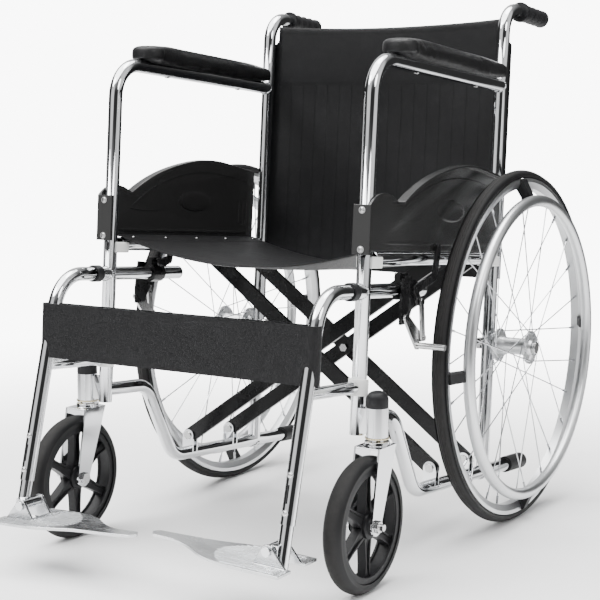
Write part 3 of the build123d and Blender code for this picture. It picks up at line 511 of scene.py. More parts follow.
def mesh_object(name: str, points: Iterable[Sequence[float]], faces: Iterable[Sequence[int]],
                look: Look, smooth: float = 35.0) -> bpy.types.Object:
    """Make a closed mesh with outward faces.

    Args:
        name: The piece's name.
        points: Its vertices.
        faces: Vertex numbers of its faces.
        look: Its finish.
        smooth: Edges sharper than this angle, in degrees, stay sharp.

    Returns:
        The object, at the origin.
    """
    mesh = bpy.data.meshes.new(name)
    mesh.from_pydata([tuple(point) for point in points], [], list(faces))
    work = bmesh.new()
    work.from_mesh(mesh)
    bmesh.ops.remove_doubles(work, verts=work.verts, dist=1e-6)
    bmesh.ops.recalc_face_normals(work, faces=work.faces)
    work.to_mesh(mesh)
    work.free()
    mesh.materials.append(look.material)
    mesh.shade_smooth()
    mesh.set_sharp_from_angle(angle=math.radians(smooth))
    return link(name, mesh)


def evaluated(piece: bpy.types.Object) -> None:
    """Apply all modifiers of a piece, and drop them."""
    graph = bpy.context.evaluated_depsgraph_get()
    mesh = bpy.data.meshes.new_from_object(piece.evaluated_get(graph))
    piece.modifiers.clear()
    piece.data = mesh


def fit(piece: bpy.types.Object, body: str, look: Look, *nodes: str) -> bpy.types.Object:
    """Hang a finished piece on its body and hide the nodes that it stands for."""
    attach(piece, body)
    if nodes:
        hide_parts(*nodes)
    LOG.info("%s on %s", piece.name, body)
    return piece


def refine(node: str, look: Look, bevel: float = 0.0, smooth: float = 32.0) -> bpy.types.Object:
    """Copy a node's mesh with joined faces, smooth shading and softened edges.

    Args:
        node: The CAD node.
        look: The finish of the copy.
        bevel: The width of the rounding on sharp edges, in metres, or 0 for none.
        smooth: The angle above which an edge is sharp, in degrees.

    Returns:
        The copy, not yet on a body.
    """
    source = frame["nodes"][node]
    mesh = bpy.data.meshes.new(f"{node}_shell")
    work = bmesh.new()
    work.from_mesh(source.data)
    bmesh.ops.remove_doubles(work, verts=work.verts, dist=2e-6)
    bmesh.ops.dissolve_limit(work, angle_limit=math.radians(0.6), verts=work.verts, edges=work.edges)
    work.to_mesh(mesh)
    work.free()
    mesh.materials.clear()
    mesh.materials.append(look.material)
    mesh.shade_smooth()
    mesh.set_sharp_from_angle(angle=math.radians(smooth))
    made = link(f"{node}_shell", mesh)
    if bevel:
        soften(made, bevel, smooth)
        evaluated(made)
    return made


def soften(piece: bpy.types.Object, width: float, angle: float = 32.0, segments: int = 2) -> None:
    """Round a piece's sharp edges with a live Bevel."""
    bevel = piece.modifiers.new("Bevel", "BEVEL")
    bevel.width = width
    bevel.segments = segments
    bevel.limit_method = "ANGLE"
    bevel.angle_limit = math.radians(angle)
    bevel.harden_normals = True
    bevel.use_clamp_overlap = True


def lathe(name: str, centre: Vector, axis: Vector, profile: Sequence[Point], look: Look,
          steps: int = 96, smooth: float = 30.0, closed: bool = False) -> bpy.types.Object:
    """Turn a profile about an axis.

    Args:
        name: The piece's name.
        centre: A point on the axis.
        axis: The axis's direction.
        profile: Points (along the axis, radius); the ends at radius 0 close themselves.
        look: Its finish.
        steps: Faces round the turn.
        smooth: The angle above which an edge is sharp, in degrees.
        closed: Join the profile's end to its start, as for a ring.

    Returns:
        The turned piece.
    """
    axis = axis.normalized()
    side = axis.orthogonal().normalized()
    other = axis.cross(side)
    points: list[Vector] = []
    for step in range(steps):
        turn = math.tau * step / steps
        out = side * math.cos(turn) + other * math.sin(turn)
        points += [centre + axis * along + out * radius for along, radius in profile]
    count = len(profile)
    faces = []
    for step in range(steps):
        here, there = step * count, (step + 1) % steps * count
        for index in range(count if closed else count - 1):
            after = (index + 1) % count
            faces.append((here + index, here + after, there + after, there + index))
    return mesh_object(name, points, faces, look, smooth)


def rounded(points: Sequence[Point], radius: float, steps: int = 5) -> list[Point]:
    """Round the inner corners of an open profile with arcs of about one radius."""
    made = [points[0]]
    for before, here, after in zip(points, points[1:], points[2:]):
        one, two, corner = Vector(before), Vector(after), Vector(here)
        reach = min(radius, (one - corner).length * 0.45, (two - corner).length * 0.45)
        start = corner.lerp(one, reach / (one - corner).length)
        end = corner.lerp(two, reach / (two - corner).length)
        for step in range(steps + 1):
            share = step / steps
            made.append(tuple(start.lerp(corner, share).lerp(corner.lerp(end, share), share)))
    made.append(points[-1])
    return made


def smoothed(line: Sequence[Point], steps: int) -> list[Point]:
    """Points of a smooth curve through a line's points, evenly shared out."""
    if len(line) == 2:
        return [tuple(Vector(line[0]).lerp(Vector(line[1]), step / steps)) for step in range(steps + 1)]
    knots = [Vector(point) for point in line]
    knots = [2 * knots[0] - knots[1], *knots, 2 * knots[-1] - knots[-2]]
    made = []
    for step in range(steps + 1):
        place = step / steps * (len(line) - 1)
        index = min(int(place), len(line) - 2)
        t = place - index
        a, b, c, d = knots[index:index + 4]
        made.append(tuple(0.5 * (2 * b + (c - a) * t + (2 * a - 5 * b + 4 * c - d) * t * t
                                 + (3 * b - a - 3 * c + d) * t ** 3)))
    return made


def arc(centre: Point, radius: float, start: float, end: float, steps: int) -> list[Point]:
    """Points of an arc, angles in degrees."""
    return [(centre[0] + radius * math.cos(math.radians(start + (end - start) * step / steps)),
             centre[1] + radius * math.sin(math.radians(start + (end - start) * step / steps)))
            for step in range(steps + 1)]


# ---- repeats made by node trees ----------------------------------------------------------
class GeometryTree:
    """A Geometry Nodes group being written, with named inputs."""

    def __init__(self, name: str, inputs: Sequence[tuple[str, str]]) -> None:
        self.tree = bpy.data.node_groups.new(name, "GeometryNodeTree")
        self.tree.interface.new_socket("Geometry", in_out="INPUT", socket_type="NodeSocketGeometry")
        self.keys = {}
        for title, kind in inputs:
            socket = self.tree.interface.new_socket(title, in_out="INPUT", socket_type=f"NodeSocket{kind}")
            self.keys[title] = socket.identifier
        self.tree.interface.new_socket("Geometry", in_out="OUTPUT", socket_type="NodeSocketGeometry")
        self.start = self.tree.nodes.new("NodeGroupInput")
        self.end = self.tree.nodes.new("NodeGroupOutput")

    def add(self, kind: str, settings: dict | None = None, **inputs: object) -> bpy.types.Node:
        """Add a node; inputs are values, sockets, or nodes whose first output is meant."""
        made = self.tree.nodes.new(kind)
        for key, value in (settings or {}).items():
            setattr(made, key, value)
        for key, value in inputs.items():
            self.join(made, key.replace("_", " "), value)
        return made

    def join(self, made: bpy.types.Node, key: str | int, value: object) -> None:
        """Feed one input of a node."""
        socket = made.inputs[key]
        if isinstance(value, bpy.types.Node):
            value = value.outputs[0]
        if isinstance(value, bpy.types.NodeSocket):
            self.tree.links.new(value, socket)
        else:
            socket.default_value = value

    def given(self, title: str) -> bpy.types.NodeSocket:
        """One of the group's own inputs."""
        return self.start.outputs[title]

    def finish(self, shape: bpy.types.Node) -> None:
        """End the tree in Realize Instances, smooth shading and Set Material."""
        real = self.add("GeometryNodeRealizeInstances", Geometry=shape)
        smooth = self.add("GeometryNodeSetShadeSmooth", Geometry=real)
        dressed = self.add("GeometryNodeSetMaterial", Geometry=smooth, Material=self.given("Material"))
        self.tree.links.new(dressed.outputs[0], self.end.inputs[0])

    def run(self, source: bpy.types.Object, smooth: float = 40.0, **values: object) -> bpy.types.Object:
        """Put the tree on an object, read the result and keep it as that object's plain mesh.

        Args:
            source: The object that carries the points or the path.
            smooth: The angle above which an edge is sharp, in degrees.
            values: The tree's named inputs, with underscores for spaces.

        Returns:
            A mesh object of the same name.
        """
        modifier = source.modifiers.new("Tree", "NODES")
        modifier.node_group = self.tree
        for key, value in values.items():
            modifier[self.keys[key.replace("_", " ")]] = value
        graph = bpy.context.evaluated_depsgraph_get()
        mesh = bpy.data.meshes.new_from_object(source.evaluated_get(graph))
        name = source.name
        source.modifiers.clear()
        bpy.data.objects.remove(source)
        mesh.set_sharp_from_angle(angle=math.radians(smooth))
        return link(name, mesh)


def scatter_tree() -> GeometryTree:
    """A small mesh set on each vertex, its Z along the vertex's "facing"."""
    tree = GeometryTree("set_on_points", (("Item", "Object"), ("Spin", "Float"), ("Material", "Material")))
    facing = tree.add("GeometryNodeInputNamedAttribute", {"data_type": "FLOAT_VECTOR"}, Name="facing")
    turned = tree.add("FunctionNodeAlignRotationToVector", {"axis": "Z"}, Vector=facing)
    item = tree.add("GeometryNodeObjectInfo", Object=tree.given("Item"))
    laid = tree.add("GeometryNodeInstanceOnPoints", Points=tree.given("Geometry"), Rotation=turned,
                    Instance=item.outputs["Geometry"])
    spun = tree.add("GeometryNodeRotateInstances", Instances=laid)
    spin = tree.add("ShaderNodeCombineXYZ", Z=tree.given("Spin"))
    tree.join(spun, "Rotation", spin)
    tree.finish(spun)
    return tree


def stitch_tree() -> GeometryTree:
    """Short thread capsules along a path, one every pitch."""
    tree = GeometryTree("stitch_line", (("Pitch", "Float"), ("Length", "Float"), ("Thickness", "Float"),
                                        ("Material", "Material")))
    laid = tree.add("GeometryNodeResampleCurve", {"mode": "LENGTH"}, Curve=tree.given("Geometry"),
                    Length=tree.given("Pitch"))
    tangent = tree.add("GeometryNodeInputTangent")
    along = tree.add("FunctionNodeAlignRotationToVector", {"axis": "Z"}, Vector=tangent)
    bead = tree.add("GeometryNodeMeshUVSphere", Segments=6, Rings=5, Radius=0.5)
    half = tree.add("ShaderNodeCombineXYZ", X=tree.given("Thickness"), Y=tree.given("Thickness"),
                    Z=tree.given("Length"))
    dots = tree.add("GeometryNodeInstanceOnPoints", Points=laid, Instance=bead, Rotation=along, Scale=half)
    tree.finish(dots)
    return tree


def ring_tree() -> GeometryTree:
    """Wires along the paths, repeated round an axle that runs along X."""
    tree = GeometryTree("wires_round_axle", (("Count", "Int"), ("Centre", "Vector"),
                                             ("Wire radius", "Float"), ("Material", "Material")))
    section = tree.add("GeometryNodeCurvePrimitiveCircle", Resolution=8, Radius=tree.given("Wire radius"))
    wire = tree.add("GeometryNodeCurveToMesh", Curve=tree.given("Geometry"), Profile_Curve=section,
                    Fill_Caps=True)
    away = tree.add("ShaderNodeVectorMath", {"operation": "SCALE"}, Scale=-1.0)
    tree.join(away, 0, tree.given("Centre"))
    local = tree.add("GeometryNodeTransform", Geometry=wire, Translation=away)
    places = tree.add("GeometryNodePoints", Count=tree.given("Count"), Position=tree.given("Centre"))
    index = tree.add("GeometryNodeInputIndex")
    share = tree.add("ShaderNodeMath", {"operation": "DIVIDE"})
    tree.join(share, 0, index)
    tree.join(share, 1, tree.given("Count"))
    turn = tree.add("ShaderNodeMath", {"operation": "MULTIPLY"})
    tree.join(turn, 0, share)
    tree.join(turn, 1, math.tau)
    around = tree.add("ShaderNodeCombineXYZ", X=turn)
    laid = tree.add("GeometryNodeInstanceOnPoints", Points=places, Instance=local, Rotation=around)
    tree.finish(laid)
    return tree


def path_object(name: str, runs: Sequence[Sequence[Vector]]) -> bpy.types.Object:
    """A curve object with one straight-sided spline for each run of points."""
    curve = bpy.data.curves.new(name, "CURVE")
    curve.dimensions = "3D"
    for run in runs:
        spline = curve.splines.new("POLY")
        spline.points.add(len(run) - 1)
        for point, place in zip(spline.points, run):
            point.co = (*place, 1)
    made = bpy.data.objects.new(name, curve)
    bpy.context.scene.collection.objects.link(made)
    return made


def point_object(name: str, places: Sequence[tuple[Vector, Vector]]) -> bpy.types.Object:
    """A mesh of loose points, each with a direction called facing."""
    mesh = bpy.data.meshes.new(name)
    mesh.from_pydata([tuple(place) for place, _ in places], [], [])
    facing = mesh.attributes.new("facing", "FLOAT_VECTOR", "POINT")
    for slot, (_, way) in zip(facing.data, places):
        slot.vector = way
    return link(name, mesh)


def joined(name: str, parts: Sequence[bpy.types.Object], look: Look) -> bpy.types.Object:
    """Join meshes of one finish into one piece."""
    work = bmesh.new()
    for part in parts:
        work.from_mesh(part.data)
    mesh = bpy.data.meshes.new(name)
    work.to_mesh(mesh)
    work.free()
    mesh.materials.append(look.material)
    for part in parts:
        bpy.data.objects.remove(part)
    mesh.set_sharp_from_angle(angle=math.radians(38))
    return link(name, mesh)


def sheet_mesh(name: str, place: Callable[[float, float], Vector], across: int, along: int,
               thickness: float, look: Look) -> bpy.types.Object:
    """A closed cloth panel with rounded rims, from a middle surface.

    Args:
        name: The piece's name.
        place: The middle surface's point for two shares from 0 to 1.
        across: Steps of the first share.
        along: Steps of the second share.
        thickness: The cloth's thickness, in metres.
        look: Its finish.

    Returns:
        The panel.
    """
    points, faces = [], []
    nudge = 1e-3
    for layer in (0.5, -0.5):
        for row in range(along + 1):
            for column in range(across + 1):
                u, v = column / across, row / along
                here = place(u, v)
                du = place(min(u + nudge, 1), v) - place(max(u - nudge, 0), v)
                dv = place(u, min(v + nudge, 1)) - place(u, max(v - nudge, 0))
                rim = min(u * across, (1 - u) * across, v * along, (1 - v) * along, 1)
                points.append(here + du.cross(dv).normalized() * thickness * layer * (0.35 + 0.65 * rim))
    size = (across + 1) * (along + 1)
    for row in range(along):
        for column in range(across):
            a = row * (across + 1) + column
            b, c, d = a + 1, a + across + 2, a + across + 1
            faces += [(a, b, c, d), (a + size, d + size, c + size, b + size)]
    edge = ([column for column in range(across)]
            + [across + row * (across + 1) for row in range(along)]
            + [along * (across + 1) + across - column for column in range(across)]
            + [(along - row) * (across + 1) for row in range(along)])
    for here, there in zip(edge, edge[1:] + edge[:1]):
        faces.append((here, here + size, there + size, there))
    return mesh_object(name, points, faces, look, 60)


# ---- tools of the repeats, made once ----------------------------------------------------
@dataclass
class Fasteners:
    """Screws, stitches and rods, and the trees that set them out."""

    def __post_init__(self) -> None:
        """Write the trees and keep the master shapes aside."""
        self.scatter = scatter_tree()
        self.stitches = stitch_tree()
        self.wires = ring_tree()
        self.masters: dict[str, bpy.types.Object] = {}

    def master(self, name: str, profile: Sequence[Point], steps: int = 20) -> bpy.types.Object:
        """A turned head standing on the origin along +Z, kept out of the render."""
        if name not in self.masters:
            made = lathe(name, Vector(), Vector((0, 0, 1)), profile, Look.ZINC, steps)
            self.masters[name] = made
        return self.masters[name]

    def screw(self, radius: float) -> bpy.types.Object:
        """A pan head with a sunk round recess and a washer below it."""
        r, h = radius, radius * 0.42
        return self.master(f"screw_{round(radius * 1e5)}", (
            (-0.0004, 0), (-0.0004, r * 1.35), (0.0006, r * 1.35), (0.0006, r), (h * 0.7, r * 0.94),
            (h, r * 0.68), (h, r * 0.36), (h * 0.35, r * 0.30), (h * 0.35, 0)))

    def set_out(self, name: str, places: Sequence[tuple[Vector, Vector]], item: bpy.types.Object,
                look: Look = Look.ZINC) -> bpy.types.Object:
        """Set an item on places, each with the direction that it faces."""
        return self.scatter.run(point_object(name, places), Item=item, Spin=0.4, Material=look.material)

    def stitch(self, name: str, runs: Sequence[Sequence[Vector]], look: Look = Look.THREAD,
               pitch: float = 0.0042, thickness: float = 0.0008) -> bpy.types.Object:
        """Sew thread along runs of points."""
        return self.stitches.run(path_object(name, runs), Pitch=pitch, Length=pitch * 0.72,
                                 Thickness=thickness, Material=look.material)

    def rods(self, name: str, runs: Sequence[Sequence[Vector]], radius: float,
             look: Look) -> bpy.types.Object:
        """Round rods along runs of points, made once by the wires' tree."""
        return self.wires.run(path_object(name, runs), Count=1, Centre=Vector(), Wire_radius=radius,
                              Material=look.material)

    def tidy(self) -> None:
        """Remove the master shapes."""
        for made in self.masters.values():
            bpy.data.objects.remove(made)


# ---- the chair ---------------------------------------------------------------------------
@dataclass
class SideFrame:
    """One side's tubes with welds, caps, saddles, hanger and post."""

    side: Side
    axes: SideAxes
    kit: Fasteners
    frame_x: float = 0.2354
    tube_r: float = 0.011
    front_p: float = -0.445
    lower_q: float = -0.220
    rail_q: float = 0.099
    arm_q: float = 0.4385

    @property
    def body(self) -> str:
        """The body of this side."""
        return f"{self.side.word}_side"

    def build(self) -> None:
        """Make and dress every hard piece of the side."""
        for stem, look, bevel in (("side_frame", Look.CHROME, 0.0), ("footrest_hanger", Look.CHROME, 0.0),
                                  ("footplate_post", Look.CHROME, 0.0005),
                                  ("frame_caps", Look.MOULDED, 0.0008),
                                  ("nylon_saddles", Look.NYLON, 0.001)):
            node = self.side.node(stem)
            fit(refine(node, look, bevel), self.body, look, node)
        self.welds()
        self.screws()

    def welds(self) -> None:
        """Rippled weld beads where tubes meet."""
        x = self.side.value * self.frame_x
        up, back = self.axes.up, self.axes.back
        reach = self.tube_r
        beads = [self.bead(self.axes.at(x, self.front_p, self.rail_q), back, up, reach),
                 self.bead(self.axes.at(x, 0, self.lower_q), up, back, reach),
                 self.bead(self.axes.at(x, 0, self.arm_q), back, up, reach)]
        fit(joined(self.side.node("weld_beads"), beads, Look.CHROME), self.body, Look.CHROME)

    def bead(self, centre: Vector, along: Vector, cross: Vector, radius: float) -> bpy.types.Object:
        """The saddle-shaped bead of a tube that meets another of the same radius.

        Args:
            centre: Where the middle lines cross.
            along: The direction of the tube that ends here.
            cross: The direction of the tube that it ends on.
            radius: Both tubes' radius.

        Returns:
            The bead.
        """
        side = along.cross(cross).normalized()
        rounds, sides = 72, 8
        points, faces = [], []
        for step in range(rounds):
            turn = math.tau * step / rounds
            high, wide = radius * math.cos(turn), radius * math.sin(turn)
            stand = math.sqrt(max(radius ** 2 - wide ** 2, (0.3 * radius) ** 2))
            seat = centre + along * -stand + cross * high + side * wide
            out = (cross * math.cos(turn) + side * math.sin(turn)) * 0.7 - along * 0.5
            thick = 0.0017 + 0.0004 * math.sin(step * 2.1)
            for face in range(sides):
                swing = math.tau * face / sides
                points.append(seat + out.normalized() * math.cos(swing) * thick
                              + along * math.sin(swing) * thick * 1.2)
        for step in range(rounds):
            for face in range(sides):
                a, b = step * sides, (step + 1) % rounds * sides
                c = (face + 1) % sides
                faces.append((a + face, a + c, b + c, b + face))
        return mesh_object("bead", points, faces, Look.CHROME, 80)

    def screws(self) -> None:
        """Screws under the arm tube and on the hanger, with the hanger's slot and a washer on the barrel."""
        s = self.side.value
        x = s * self.frame_x
        up, front = self.axes.up, -self.axes.back
        leg_p, leg_q, lean = -0.5655, 0.099, 0.1924

        def on_leg(q: float, lift: float) -> Vector:
            """A point on the lower leg's front, lifted by a share of the tube's radius."""
            return self.axes.at(x, leg_p - lean * (leg_q - q) - self.tube_r * lift, q)

        under = [(self.axes.at(x, p, self.arm_q - self.tube_r), -up) for p in (-0.31, -0.10)]
        leg = [(on_leg(q, 1.02), front) for q in (-0.147, -0.198)]
        heads = self.kit.set_out(self.side.node("frame_screws"), under + leg, self.kit.screw(0.0034))
        fit(heads, self.body, Look.ZINC)
        slot = [[on_leg(q, 0.99) for q in (-0.160, -0.185)]]
        fit(self.kit.rods(self.side.node("leg_slot"), slot, 0.0013, Look.MOULDED), self.body, Look.MOULDED)
        collar = Vector((s * 0.2704, self.axes.axle.y - 0.454, 0))
        ring = [(0.2195, 0.0090), (0.2195, 0.0180), (0.2219, 0.0180), (0.2219, 0.0090)]
        low = lathe(self.side.node("barrel_washer"), collar, Vector((0, 0, 1)),
                    rounded(ring, 0.0006, 3), Look.BRASS, 48, 30, True)
        fit(low, self.body, Look.BRASS)


@dataclass
class RearWheel:
    """A spoked rear wheel with its handrim."""

    side: Side
    kit: Fasteners
    axle: Vector
    middle_x: float = 0.287
    outer_r: float = 0.297
    seat_r: float = 0.2835
    spokes: int = 28
    cross: int = 3
    flanges: tuple[float, float] = (0.2562, 0.3125)
    flange_t: float = 0.003
    spoke_r: float = 0.0011
    pitch_r: float = 0.024
    nipple: float = 0.013
    rim_r: float = 0.2671

    @property
    def body(self) -> str:
        """The wheel's own body."""
        return self.side.node("rear_wheel")

    def build(self) -> None:
        """Make the tyre, rim, spokes, hub, handrim and spacers."""
        s = self.side.value
        centre = Vector((s * self.middle_x, self.axle.y, self.axle.z))
        across = Vector((s, 0, 0))
        fit(self.tyre(centre, across), self.body, Look.TYRE, self.side.node("rear_tyre"))
        for stem, look, bevel in (("rear_rim", Look.RIM, 0.0), ("handrim", Look.RIM, 0.0),
                                  ("rear_hub", Look.RIM, 0.0), ("handrim_spacers", Look.MOULDED, 0.001)):
            node = self.side.node(stem)
            fit(refine(node, look, bevel), self.body, look, node)
        axle = self.side.node("rear_axle")
        fit(refine(axle, Look.ZINC, 0.0005), f"{self.side.word}_side", Look.ZINC, axle)
        fit(self.wires(), self.body, Look.SPOKE, self.side.node("rear_spokes"))

    def tyre(self, centre: Vector, across: Vector) -> bpy.types.Object:
        """The solid tyre: sidewalls, a bead line and a shallow three-groove tread."""
        half, top, low = 0.0125, self.outer_r, self.seat_r
        profile = [(-half + 0.0045, low + 0.0003), (-half + 0.0010, low + 0.002), (-half, low + 0.0055),
                   (-half + 0.0008, low + 0.0072), (-half + 0.0004, low + 0.0082)]
        tread = []
        for along, radius in arc((0, top - 0.0125), 0.0125, 155, 25, 26):
            groove = 0.0007 if min(abs(along - mark) for mark in (-0.0045, 0, 0.0045)) < 0.0005 else 0
            tread.append((along * 0.97, radius - groove))
        profile += tread + [(-along, radius) for along, radius in reversed(profile)]
        return lathe(self.side.node("tyre"), centre, across, profile, Look.TYRE, 220, 40, True)

    def ends(self, number: int) -> list[Vector]:
        """The head, elbow and rim end of one spoke."""
        step = math.tau / self.spokes
        trailing = 1 if number % 4 < 2 else -1
        flange = self.flanges[number % 2]
        rim_turn = number * step
        hub_turn = rim_turn + trailing * self.cross * 2 * step
        spread = self.middle_x + (0.003 if number % 2 else -0.003)
        s, y, z = self.side.value, self.axle.y, self.axle.z
        hub = (y + self.pitch_r * math.cos(hub_turn), z + self.pitch_r * math.sin(hub_turn))
        return [Vector((s * (flange - trailing * (self.flange_t / 2 + 0.0009)), *hub)),
                Vector((s * (flange + trailing * (self.flange_t / 2 + self.spoke_r + 0.0016)), *hub)),
                Vector((s * spread, y + self.rim_r * math.cos(rim_turn),
                        z + self.rim_r * math.sin(rim_turn)))]

    def wires(self) -> bpy.types.Object:
        """All spokes and nipples, repeated round the axle by a tree."""
        kinds = [self.ends(number) for number in range(4)]
        centre = Vector((0, self.axle.y, self.axle.z))
        repeats = self.spokes // 4
        wires = self.kit.wires.run(path_object("wires", kinds), Count=repeats, Centre=centre,
                                   Wire_radius=self.spoke_r, Material=Look.SPOKE.material)
        tips = [[rim + (elbow - rim).normalized() * self.nipple, rim] for _, elbow, rim in kinds]
        nipples = self.kit.wires.run(path_object("nipples", tips), Count=repeats, Centre=centre,
                                     Wire_radius=self.spoke_r * 1.9, Material=Look.SPOKE.material)
        return joined(self.side.node("spokes"), [wires, nipples], Look.SPOKE)


@dataclass
class Castor:
    """A front castor with its fork."""

    side: Side
    axis: Vector
    half_w: float = 0.015
    outer_r: float = 0.100
    rim_r: float = 0.084
    hub_half: float = 0.017
    spokes: int = 6

    def build(self) -> None:
        """Make the tyre, the moulded centre, the fork and the axle."""
        wheel = self.side.node("castor_wheel")
        centre = Vector((self.side.value * self.axis.x, self.axis.y, self.axis.z))
        across = Vector((self.side.value, 0, 0))
        half, outer = self.half_w, self.outer_r
        profile = [(-half, self.rim_r), (-half, outer - 0.0105)]
        profile += [(along, radius) for along, radius in arc((0, outer - 0.0165), 0.0165, 156, 24, 22)]
        profile += [(half, outer - 0.0105), (half, self.rim_r)]
        tyre = lathe(self.side.node("castor_tread"), centre, across, profile, Look.CASTOR_TYRE, 120, 40, True)
        fit(tyre, wheel, Look.CASTOR_TYRE, self.side.node("castor_tyre"))
        fit(self.centre(centre, across), wheel, Look.MOULDED, wheel)
        fork, axle = self.side.node("castor_fork"), self.side.node("castor_axle")
        fit(refine(fork, Look.CHROME, 0.0009), fork, Look.CHROME, fork)
        fit(refine(axle, Look.ZINC, 0.0007), fork if frame_body(axle) == fork else wheel, Look.ZINC, axle)

    def centre(self, centre: Vector, across: Vector) -> bpy.types.Object:
        """The wheel centre: channelled rim, stepped hub and I-section spokes."""
        rim = rounded([(-0.013, 0.0742), (-0.013, 0.0838), (0.013, 0.0838), (0.013, 0.0742),
                       (0.010, 0.0742), (0.009, 0.0775), (-0.009, 0.0775), (-0.010, 0.0742)], 0.0008, 3)
        ring = lathe("ring", centre, across, rim, Look.MOULDED, 96, 30, True)
        width = self.hub_half
        hub = lathe("hub", centre, across, [
            (-width, 0.0053), (-width, 0.012), (-width + 0.0015, 0.0135), (-0.013, 0.014), (-0.0115, 0.0192),
            (0.0115, 0.0192), (0.013, 0.014), (width - 0.0015, 0.0135), (width, 0.012), (width, 0.0053)],
            Look.MOULDED, 64, 30, True)
        parts = [ring, hub]
        for number in range(self.spokes):
            turn = math.radians(30 + 60 * number)
            out = Vector((0, math.cos(turn), math.sin(turn)))
            flank = across.cross(out)
            parts.append(self.spoke(centre, out, flank, across))
        return joined(self.side.node("castor_centre"), parts, Look.MOULDED)

    def spoke(self, centre: Vector, out: Vector, flank: Vector, across: Vector) -> bpy.types.Object:
        """One spoke: two side flanges and a sunk web, flared at both roots."""
        points, faces = [], []
        stations = 14
        for station in range(stations):
            share = station / (stations - 1)
            reach = 0.0175 + (0.0785 - 0.0175) * share
            wide = 0.0058 + 0.0042 * (1 - share) ** 2.2 + 0.0030 * share ** 7
            sunk = 0.0036 * math.sin(math.pi * min(max(share * 1.1 - 0.05, 0), 1)) ** 0.4
            deep, lip = 0.007, wide * 0.62
            section = [(-wide, -deep), (-lip, -deep), (-lip * 0.92, -deep + sunk), (lip * 0.92, -deep + sunk),
                       (lip, -deep), (wide, -deep), (wide, deep), (lip, deep), (lip * 0.92, deep - sunk),
                       (-lip * 0.92, deep - sunk), (-lip, deep), (-wide, deep)]
            points += [centre + out * reach + flank * a + across * b for a, b in section]
        count = 12
        for station in range(stations - 1):
            for index in range(count):
                a, b = station * count, (station + 1) * count
                faces.append((a + index, a + (index + 1) % count, b + (index + 1) % count, b + index))
        faces += [tuple(range(count)), tuple((stations - 1) * count + index for index in range(count))]
        return mesh_object("spoke", points, faces, Look.MOULDED, 30)


def frame_body(node: str) -> str:
    """The body that a CAD node rides on."""
    found = body_of(frame["nodes"][node])
    return found if isinstance(found, str) else found[0]


@dataclass
class Hardware:
    """Folding brace, seat rails, brakes and footplates."""

    kit: Fasteners

    def build(self) -> None:
        """Dress each remaining hard node on its own body."""
        plain = [("brace_a", Look.ENAMEL, 0.001), ("brace_b", Look.ENAMEL, 0.001),
                 ("brace_bolts", Look.ZINC, 0.0006), ("seat_rail_left", Look.CHROME, 0.0),
                 ("seat_rail_right", Look.CHROME, 0.0)]
        for side in Side:
            plain += [(side.node(stem), look, bevel) for stem, look, bevel in (
                ("brace_pins", Look.ZINC, 0.0006), ("brake_clamp", Look.ENAMEL, 0.0008),
                ("brake_lever", Look.ENAMEL, 0.0007), ("brake_link", Look.ZINC, 0.0005),
                ("brake_shoe", Look.ZINC, 0.0006), ("footplate", Look.PLATE, 0.0008),
                ("tip_cap", Look.CAP, 0.0), ("push_grip", Look.GRIP, 0.0))]
        for node, look, bevel in plain:
            fit(refine(node, look, bevel), frame_body(node), look, node)
        for side in Side:
            self.plate_ribs(side)

    def plate_ribs(self, side: Side) -> None:
        """Fine tread ribs across the chair near the hinge, cut to the plate's width."""
        s = side.value
        low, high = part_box(side.node("footplate"))
        middle = (low[1] + high[1]) / 2
        tilt = math.tan(math.radians(2.2))
        pitch, last, ear_half = 0.0052, 8, 0.021
        hinge_x, top_z = 0.2214, 0.0785
        runs = []
        for number in range(-last, last + 1):
            start = 0.205 if abs(number) * pitch < ear_half else 0.246
            end = 0.128 + 0.030 * (abs(number) / last) ** 2
            y = middle + number * pitch
            runs.append([Vector((s * x, y, top_z + (hinge_x - x) * tilt)) for x in (start, end)])
        rods = self.kit.rods(side.node("plate_ribs"), runs, 0.0010, Look.PLATE)
        fit(rods, side.node("footplate"), Look.PLATE)


